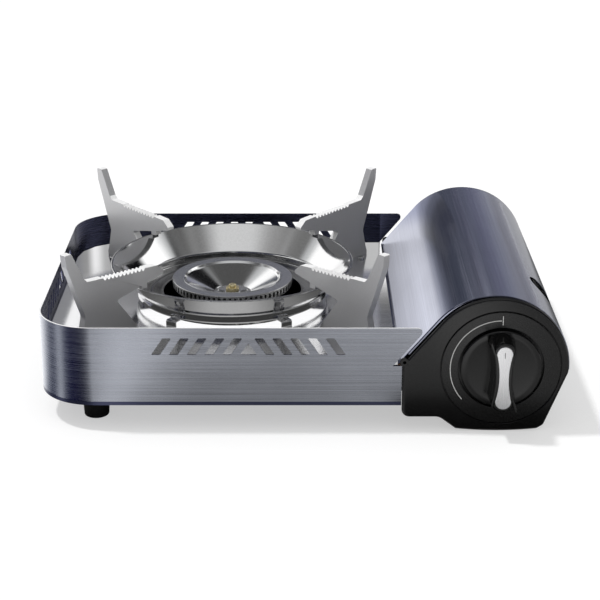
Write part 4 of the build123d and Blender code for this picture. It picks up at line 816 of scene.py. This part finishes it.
piece("wrap", wrap_shape(), WRAP, "stove_body", ["body_shell"], bevel=0.28, solid=1,
      turned=True, inside=WRAP_INSIDE, extra=[EDGE_HIGHLIGHT], paint=wrap_highlight_paint)


# ---------------- pan bowl and legs
BOWL_FOOT, BOWL_TURN, BOWL_RIM = 51.6, 67, (84.1, 73.75)


def bowl_shape():
    ridge = BOWL_FOOT + 0.45
    under = [(49, BOWL_FOOT + 0.7), (49.5, BOWL_FOOT), (56.4, BOWL_FOOT), (57.6, ridge), (62.4, ridge),
             (63.6, BOWL_FOOT), (BOWL_TURN, BOWL_FOOT), (BOWL_TURN, 57.5), (83.1, BOWL_RIM[1]), BOWL_RIM]
    low = rounded(under, [0.4, 1, 1, 1, 1, 1.4, 3, 0.8])
    high = rounded(offset_path(under, 0.8), [0.4, 1, 1, 1, 1, 0.6, 3.4, 0.5])
    rim = arc((BOWL_RIM[0], 74.15), 0.42, -90, 90, 6)
    hole = arc((48.75, BOWL_FOOT + 0.95), 0.4, 120, 250, 4)
    return lathe(merged(low + rim + list(reversed(high)) + hole), 180, upright)


# painted shade: the upward faces of the bowl's floor, inside the turn, get the darker steel
def bowl_shade_paint(at, way, old):
    return 1 if from_burner(at) < BOWL_TURN - 1.0 and way.z > 0.3 else 0


piece("bowl", bowl_shape(), BOWL, "pan_support", ["pan_bowl"], smooth=50, extra=[BOWL_FLOOR_SHADE],
      paint=bowl_shade_paint)


def legs_shape():
    line = [(BOWL_TURN, 54.6), (BOWL_TURN, BOWL_FOOT), (72.5, BOWL_FOOT), (72.5, TRAY_TOP)]
    over = rounded(offset_path(line, 1), [0.5, 1.5], 4)
    loop = merged(rounded(line, 0.5, 4) + list(reversed(over)))
    return joined(*[prism(loop, (), -4, 4, radial(angle)) for angle in (58, 122, 238, 302)])


piece("legs", legs_shape(), BOWL, "pan_support", ["bowl_legs"], bevel=0.25)


# ---------------- pan arms
ARM_HALF, ARM_FOOT, FIN_OUT, FIN_TOP, BEAM_TIP = 2.75, 136.1, 145.5, 112.5, 65.3
TEETH, TOOTH_PITCH, TOOTH_DEEP, TOOTH_FLANK, TEETH_START = 11, 3.2, 1.6, 1.12, 80.8


def beam_top(radius):
    """The toothed edge falls a little towards the burner."""
    return SEAT - (115.8 - radius) * 0.045


def arm_shape(angle):
    line = [(89.5, TRAY_TOP), (ARM_FOOT, TRAY_TOP), (ARM_FOOT, 49.7), (134.6, 54), (131.5, 67.3),
            (135.7, 78.5), (144.7, 104), (FIN_OUT, FIN_TOP), (FIN_OUT - 5, FIN_TOP), (131.5, 93.5),
            (129, 91)]
    radii = [0, 0.6, 0.6, 2, 6, 3, 2, 0.7, 0.7, 1.5, 1]
    for index in reversed(range(TEETH)):
        start = TEETH_START + TOOTH_PITCH * index
        end = start + TOOTH_PITCH
        valley = beam_top(start) - TOOTH_DEEP
        line += [(end, beam_top(end)), (end - TOOTH_FLANK, valley), (start + TOOTH_FLANK, valley)]
        radii += [0.25, 0.3, 0.3]
    top = beam_top(BEAM_TIP)
    line += [(TEETH_START, beam_top(TEETH_START)), (70.5, top), (BEAM_TIP, top - 4.6), (65.5, SEAT - 9),
             (79.5, SEAT - 12), (79.5, 74.6), (84.1, 74.6), (84.1, 76.9), (105.8, 72.2), (89.5, 50.9)]
    radii += [0.25, 1.2, 1, 1, 0.6, 0.3, 0.3, 0.6, 1.2, 0.8]
    return prism(rounded_loop(line, radii, 3), (), -ARM_HALF, ARM_HALF, radial(angle))


def arm_highlight_paint(angle):
    """Painted highlights: the bevels, the top faces and the faces at the inner end, near the bowl, get the
    bright edge material; the broad sides and the steep narrow faces keep the enamel.
    """
    flat = Vector((-sin(radians(angle)), cos(radians(angle)), 0))

    def paint(at, way, old):
        across = abs(way.dot(flat))
        radius = from_burner(at)
        if across > 0.985:
            return 0
        return 1 if across > 0.02 or way.z > 0.5 or radius < 66.5 or (radius < 81.0 and at.z < 79) else 0

    return paint


for angle, side in ((45, "back_right"), (135, "back_left"), (225, "front_left"), (315, "front_right")):
    piece("arm_" + side, arm_shape(angle), ARM, "pan_support", ["pan_arm_" + side], bevel=0.62,
          segments=3, extra=[EDGE_HIGHLIGHT], paint=arm_highlight_paint(angle))


# ---------------- burner
HEAD_OUT, HEAD_IN, SLOT_IN, SLOT_HALF, SLOTS = 42, 34.5, 39, 0.85, 72
HEAD_LOW, HEAD_TOP = 57, 62


def polar(radius, angle):
    return (radius * cos(radians(angle)), radius * sin(radians(angle)))


def head_shape():
    pitch = 360 / SLOTS
    half_out = degrees(asin(SLOT_HALF / HEAD_OUT))
    half_in = degrees(asin(SLOT_HALF / SLOT_IN))
    slot = ((HEAD_OUT, -pitch / 2), (HEAD_OUT, -half_out), (SLOT_IN, -half_in), (SLOT_IN, 0),
            (SLOT_IN, half_in), (HEAD_OUT, half_out))
    outline = [polar(radius, pitch * index + turn) for index in range(SLOTS) for radius, turn in slot]
    hole = [polar(HEAD_IN, pitch * index) for index in range(SLOTS)]
    crown = prism(outline, [list(reversed(hole))], HEAD_LOW, HEAD_TOP - 1.4, upright)
    plate = [(HEAD_IN, HEAD_TOP - 1.5), (HEAD_OUT, HEAD_TOP - 1.5), (HEAD_OUT, HEAD_TOP), (HEAD_IN, HEAD_TOP)]
    return joined(crown, lathe(merged(rounded_loop(plate, [0.1, 0.3, 0.75, 0.6], 5)), 144, upright))


def head_slot_shade_paint(at, way, old):
    """Painted shade: the slots' inner faces get the dark lead material."""
    in_slot = 38.5 < from_burner(at) < HEAD_OUT - 0.1
    return 1 if at.z < HEAD_TOP - 1.3 and abs(way.z) < 0.5 and in_slot else 0


piece("head", head_shape(), HEAD, "stove_body", ["burner_head"], extra=[LEAD_AND_SLOT_SHADE], paint=head_slot_shade_paint)


def funnel_shape():
    loop = [(2.5, 50), (13, 50), (HEAD_IN, 60.5), (HEAD_IN, 62.25), (33.6, 62.25), (32.6, 60.75),
            (31.8, 60.2), (13.4, 51.2), (12.9, 50.8), (2.5, 50.8)]
    loop = rounded_loop(loop, [0.1, 1, 0.5, 0.4, 0.4, 0.5, 0.5, 0.4, 0.4, 0.1], 4)
    return lathe(merged(loop), 144, upright)


piece("funnel", funnel_shape(), FUNNEL, "stove_body", ["burner_funnel"], smooth=25)


NUT_HALF = 4.5


def nut_shape():
    """A hexagon nut with a chamfered, slightly domed top."""
    verts = []
    rings = ((2.5, 51.9), (4.6, 51.65), (5.1, 51.8), (5.1, 53.6), (4.5, 54.3), (2.7, 54.5), (2.5, 54.3))
    steps = 72
    for k in range(steps):
        turn = 2 * pi * k / steps
        local = (turn + pi / 6) % (pi / 3) - pi / 6
        flat = NUT_HALF / cos(local)
        for radius, level in rings:
            reach = min(flat, radius)
            verts.append(upright(reach * cos(turn), reach * sin(turn), level))
    return verts, row_faces(steps, len(rings), closed=True)


piece("nut", nut_shape(), BRASS, "stove_body", ["burner_nut"], smooth=35)


# ---------------- lid
LID_CENTRE, LID_RADIUS, LID_SLOPE = (122.6, 43.4), 48.4, 50
LID_FRONT, LID_BACK = -112.7, 129.7
HINGE, BARREL_RADIUS, PIN_HOLE, BARREL_LONG = (65.552, 47.6), 2, 1.15, 9
FINGER_Y, FINGER_RADIUS, FINGER_LEAN = -53, 11.7, 39


def lid_line(depth, start):
    """The lid's line over the slope and the arc to its right edge, a depth under the outer skin."""
    lean = radians(LID_SLOPE)
    foot = Vector(HINGE) + Vector((-sin(lean), cos(lean))) * (BARREL_RADIUS - depth)
    way = Vector((cos(lean), sin(lean)))
    bend = arc(LID_CENTRE, LID_RADIUS - depth, 90 + LID_SLOPE, 0, 96)
    slope = [foot + way * start]
    slope += [slope[0].lerp(bend[0], k / 6) for k in range(1, 6)]
    return slope + bend + [Vector((LID_CENTRE[0] + LID_RADIUS - depth, LID_CENTRE[1] - 2))]


def lid_sweep(section, start):
    """A closed (along, depth) section carried along the lid's line."""
    lines = {depth: lid_line(depth, start) for depth in sorted({p[1] for p in section})}
    stations = len(lines[section[0][1]])
    count = len(section)
    verts = [front_view(*lines[depth][k], along) for k in range(stations) for along, depth in section]
    caps = [tuple(range(count)), tuple(reversed(range(len(verts) - count, len(verts))))]
    return verts, row_faces(stations, count) + caps


def lid_sheet():
    """The sheet with rounded front and back edges."""
    edge = ((0, 0.4), (0.12, 0.12), (0.4, 0))
    lower = ((0.12, 0.68), (0.4, 0.8))
    section = [(LID_FRONT + a, depth) for a, depth in edge]
    section += [(LID_BACK - a, depth) for a, depth in (*reversed(edge), *lower)]
    section += [(LID_FRONT + a, depth) for a, depth in reversed(lower)]
    return lid_sweep(section, -3.9)


def lid_hem(near, far):
    """A hem folded back under the sheet, clear of the hinge pin."""
    return lid_sweep([(near, 0.8), (far, 0.8), (far, 1.6), (near + 0.2, 1.8), (near, 1.6)], 5.2)


def barrel(low):
    high = low + BARREL_LONG
    loop = [(PIN_HOLE, low), (BARREL_RADIUS, low), (BARREL_RADIUS, high), (PIN_HOLE, high)]
    loop = merged(rounded_loop(loop, 0.3, 3))
    return lathe(loop, 48, lambda a, b, c: front_view(HINGE[0] + a, HINGE[1] + b, c))


def finger_shape():
    """The round tool that cuts the finger hole, square to the lid."""
    lean = radians(FINGER_LEAN)

    def place(a, b, c):
        x = LID_CENTRE[0] + c * cos(lean) - b * sin(lean)
        return (x, FINGER_Y + a, LID_CENTRE[1] + c * sin(lean) + b * cos(lean))

    tool = ((NEAR_AXIS, 30), (FINGER_RADIUS, 30), (FINGER_RADIUS, 60), (NEAR_AXIS, 60))
    return lathe(tool, 96, place)


def lid_paint(at, way, old):
    out = Vector((at.x - LID_CENTRE[0], 0, at.z - LID_CENTRE[1])).normalized()
    return 1 if way.dot(out) < -0.6 else 0


finger_cutter = cutter(finger_shape())
piece("lid", lid_sheet(), LID, "gas_lid", ["gas_lid"], cutters=[finger_cutter], bevel=0.15,
      limit=60, smooth=32, extra=[LID_INSIDE], paint=lid_paint)
bpy.data.objects.remove(finger_cutter)
hems = joined(lid_hem(LID_FRONT, LID_FRONT + 2.6), lid_hem(LID_BACK - 2.6, LID_BACK))
piece("lid_hems", hems, LID, "gas_lid", smooth=32)
barrels = joined(barrel(LID_FRONT), barrel(LID_BACK - BARREL_LONG))
piece("lid_barrels", barrels, LID, "gas_lid")


# ---------------- end housings
END, END_RADIUS, END_LEFT = (124, 44.8), 46.2, 64.3
SOLE_ENDS, SOLE_RISE = (99.3, 151.6), 1.4
DIAL_SEAT = 38.9


def end_outline():
    lean = radians(LID_SLOPE)
    touch = Vector((END[0] - END_RADIUS * sin(lean), END[1] + END_RADIUS * cos(lean)))
    slope_end = touch.y - (touch.x - END_LEFT) * tan(lean)
    crown = arc(END, END_RADIUS, 0, 90 + LID_SLOPE, 84)
    heel, toe = Vector((SOLE_ENDS[0], SOLE_RISE)), Vector((SOLE_ENDS[1], SOLE_RISE))
    left = [crown[-1], (END_LEFT, slope_end), (END_LEFT, 9.6), (88.5, 9.6), heel]
    left = rounded(left, [3.2, 5, 8], 10)
    wide = toe.x - heel.x
    radius = ((wide / 2) ** 2 + SOLE_RISE ** 2) / (2 * SOLE_RISE)
    offsets = [wide * (k / 12 - 0.5) for k in range(13)]
    sole = [Vector((sum(SOLE_ENDS) / 2 + x, radius - sqrt(radius ** 2 - x ** 2))) for x in offsets]
    side = rounded([toe, (155.8, 4), (170.2, 40.7), crown[0]], [4, 6], 8)
    return merged(crown[:-1] + left[:-1] + sole[:-1] + side[:-1], 0.02)


def housing_skin(face, wall, box_end, way):
    """The rim with its rounded front edge and the box behind it, open at the back. way is +1 towards +Y."""
    outline = end_outline()
    loops = []
    for k in range(7):
        turn = radians(15 * k)
        level = face + way * 1.5 * (1 - cos(turn))
        loops.append((inset_loop(outline, 1.9 * (1 - sin(turn))), level))
    steps = ((0.1, wall), (2.6, wall), (2.6, box_end - way * 0.2), (2.8, box_end), (4.8, box_end),
             (4.8, wall + way * 3))
    loops.append((outline, wall - way * 0.1))
    return loops + [(inset_loop(outline, inset), level) for inset, level in steps]


def dial_circle(radius):
    return arc((0, 0), radius, 0, 357.5, 143)


def front_housing_shape():
    """The housing with the stepped well that the dial plate and the spindle sit in."""
    loops = housing_skin(FACE, FRONT, -72, 1)
    seat = [(DIAL[0] + p.x, DIAL[1] + p.y) for p in dial_circle(DIAL_SEAT)]
    flat, tris = fill(loops[0][0], [seat])
    face = ([(p[0], FACE, p[1]) for p in flat], tris)
    steps = ((DIAL_SEAT, FACE), (38.6, -115.8), (38.6, -114.4), (27.5, -114.4), (27.4, -112.6), (7.6, -112.6),
             (7.6, -111))
    well = loft([(dial_circle(radius), level) for radius, level in steps], dial_view)
    return joined(loft(loops, front_view), face, well)


def ear_shape(low, high):
    return prism(arc(HINGE, 3, 0, 350, 35), (), low, high, front_view)


rear_skin = loft(housing_skin(REAR, BACK, 119, -1), front_view, close_first=True)
housings = (("front", front_housing_shape(), (FACE, FRONT)), ("rear", rear_skin, (BACK, REAR)))
for end, skin, ear_levels in housings:
    piece(end + "_end", skin, BLACK, "stove_body", [end + "_housing"], smooth=30)
    piece(end + "_ear", ear_shape(*ear_levels), BLACK, "stove_body", bevel=0.5, segments=3)


# ---------------- dial
DIAL_IN, DIAL_OUT, DIAL_BACK = 27.4, 38, -114.4
dial_loop = [(DIAL_IN, DIAL_BACK), (DIAL_IN, FACE), (DIAL_OUT, FACE), (DIAL_OUT, DIAL_BACK)]
dial_plate = lathe(merged(rounded_loop(dial_loop, [0.1, 0.45, 0.35, 0.1], 4)), 144, dial_view)
piece("dial", dial_plate, DIAL_BLACK, "stove_body", ["dial_plate"])


def strip(centre_line, half, low, high, place):
    """A thin printed line: the path widened by half on each side."""
    left = offset_path(centre_line, half)
    right = offset_path(centre_line, -half)
    return prism(left + list(reversed(right)), (), low, high, place)


dial_lines = (arc((0, 0), 32.4, 91.2, 221, 60), [(0, 29.4), (0, 35.4)])
dial_marks = joined(*[strip(line, 0.27, FACE - 0.06, FACE + 0.02, dial_view) for line in dial_lines])
piece("dial_marks", dial_marks, PRINT, "stove_body", weighted=False)


# ---------------- knob
def bone(length, end_radius, waist, steps=24):
    """Two round ends joined by hollow sides that meet them smoothly."""
    centre = length / 2 - end_radius
    narrowing = end_radius - waist
    hollow = (centre ** 2 - narrowing ** 2) / (2 * narrowing)
    reach = sqrt(hollow ** 2 + centre ** 2)
    lean = degrees(asin(centre / reach))
    top = arc((0, centre), end_radius, -lean, 180 + lean, steps)
    left = arc((-waist - hollow, 0), hollow, lean, -lean, steps)
    bottom = arc((0, -centre), end_radius, 180 - lean, 360 + lean, steps)
    right = arc((waist + hollow, 0), hollow, 180 + lean, 180 - lean, steps)
    return merged(top[:-1] + left[:-1] + bottom[:-1] + right[:-1], 1e-3)


KNOB_FRONT, DISC_RADIUS, DISC_FRONT, DISC_BACK, DISC_MIDDLE = -133, 26, -117.8, -112.6, -116.2


def knob_disc_shape():
    flat = DISC_RADIUS - 2.6
    dish = [(flat * k / 14, DISC_MIDDLE - 1.6 * (k / 14) ** 2.2) for k in range(15)]
    dish[0] = (NEAR_AXIS, DISC_MIDDLE)
    edge = rounded([(flat, DISC_FRONT), (DISC_RADIUS, DISC_FRONT), (DISC_RADIUS, DISC_BACK)], 0.9)
    return lathe(merged(dish + edge[1:] + [(NEAR_AXIS, DISC_BACK)]), 144, dial_view)


def grip_shape():
    """The bar: sides drawn in towards the front, with a rounded front edge and a pocket for the strip."""
    front, foot, lean = KNOB_FRONT + 0.3, -115.4, tan(radians(5.5))
    base = bone(49.6, 8.6, 6.9)
    depth = foot - front
    edge = depth * lean - 0.06
    loops = [(base, foot)]
    loops += [(inset_loop(base, depth * share * lean), foot - depth * share) for share in (0.25, 0.5, 0.75)]
    for k in range(1, 7):
        turn = radians(15 * k)
        loops.append((inset_loop(base, edge + 1 - cos(turn)), front + 1 - sin(turn)))
    pocket = bone(42.5, 5.15, 3.15)
    return loft(loops + [(pocket, front), (pocket, front + 1.2)], dial_view, close_first=True)


def insert_shape():
    base = bone(42.3, 5.05, 3.05)
    loops = [(base, KNOB_FRONT + 1.5), (base, KNOB_FRONT + 0.25), (inset_loop(base, 0.12), KNOB_FRONT + 0.08),
             (inset_loop(base, 0.4), KNOB_FRONT)]
    return loft(loops, dial_view, close_first=True)


piece("knob_disc", knob_disc_shape(), KNOB_BLACK, "knob", ["control_knob"])
piece("knob_bar", grip_shape(), KNOB_BLACK, "knob", smooth=35)
piece("knob_strip", insert_shape(), INSERT, "knob", ["knob_insert"], smooth=35)
index_line = strip([(0, 13.6), (0, 17.4)], 0.22, KNOB_FRONT - 0.04, KNOB_FRONT + 0.02, dial_view)
piece("knob_mark", index_line, MARK, "knob", weighted=False)


# ---------------- feet
def foot_shape(x, y):
    loop = [(2.6, 0), (8.1, 0), (8.9, 14.5), (8.2, 15.3), (8.2, 16.4), (9, 17.2), (9, 18.7), (2.6, 18.7)]
    loop = merged(rounded_loop(loop, [0.5, 1.4, 0.4, 0.3, 0.3, 0.4, 0.3, 0.1], 4))
    return lathe(loop, 64, lambda a, b, c: (x + a, y + b, c))


feet = joined(*[foot_shape(-135.1, y) for y in (-89, 106)])
piece("feet", feet, RUBBER, "stove_body", ["rubber_feet"], smooth=35)
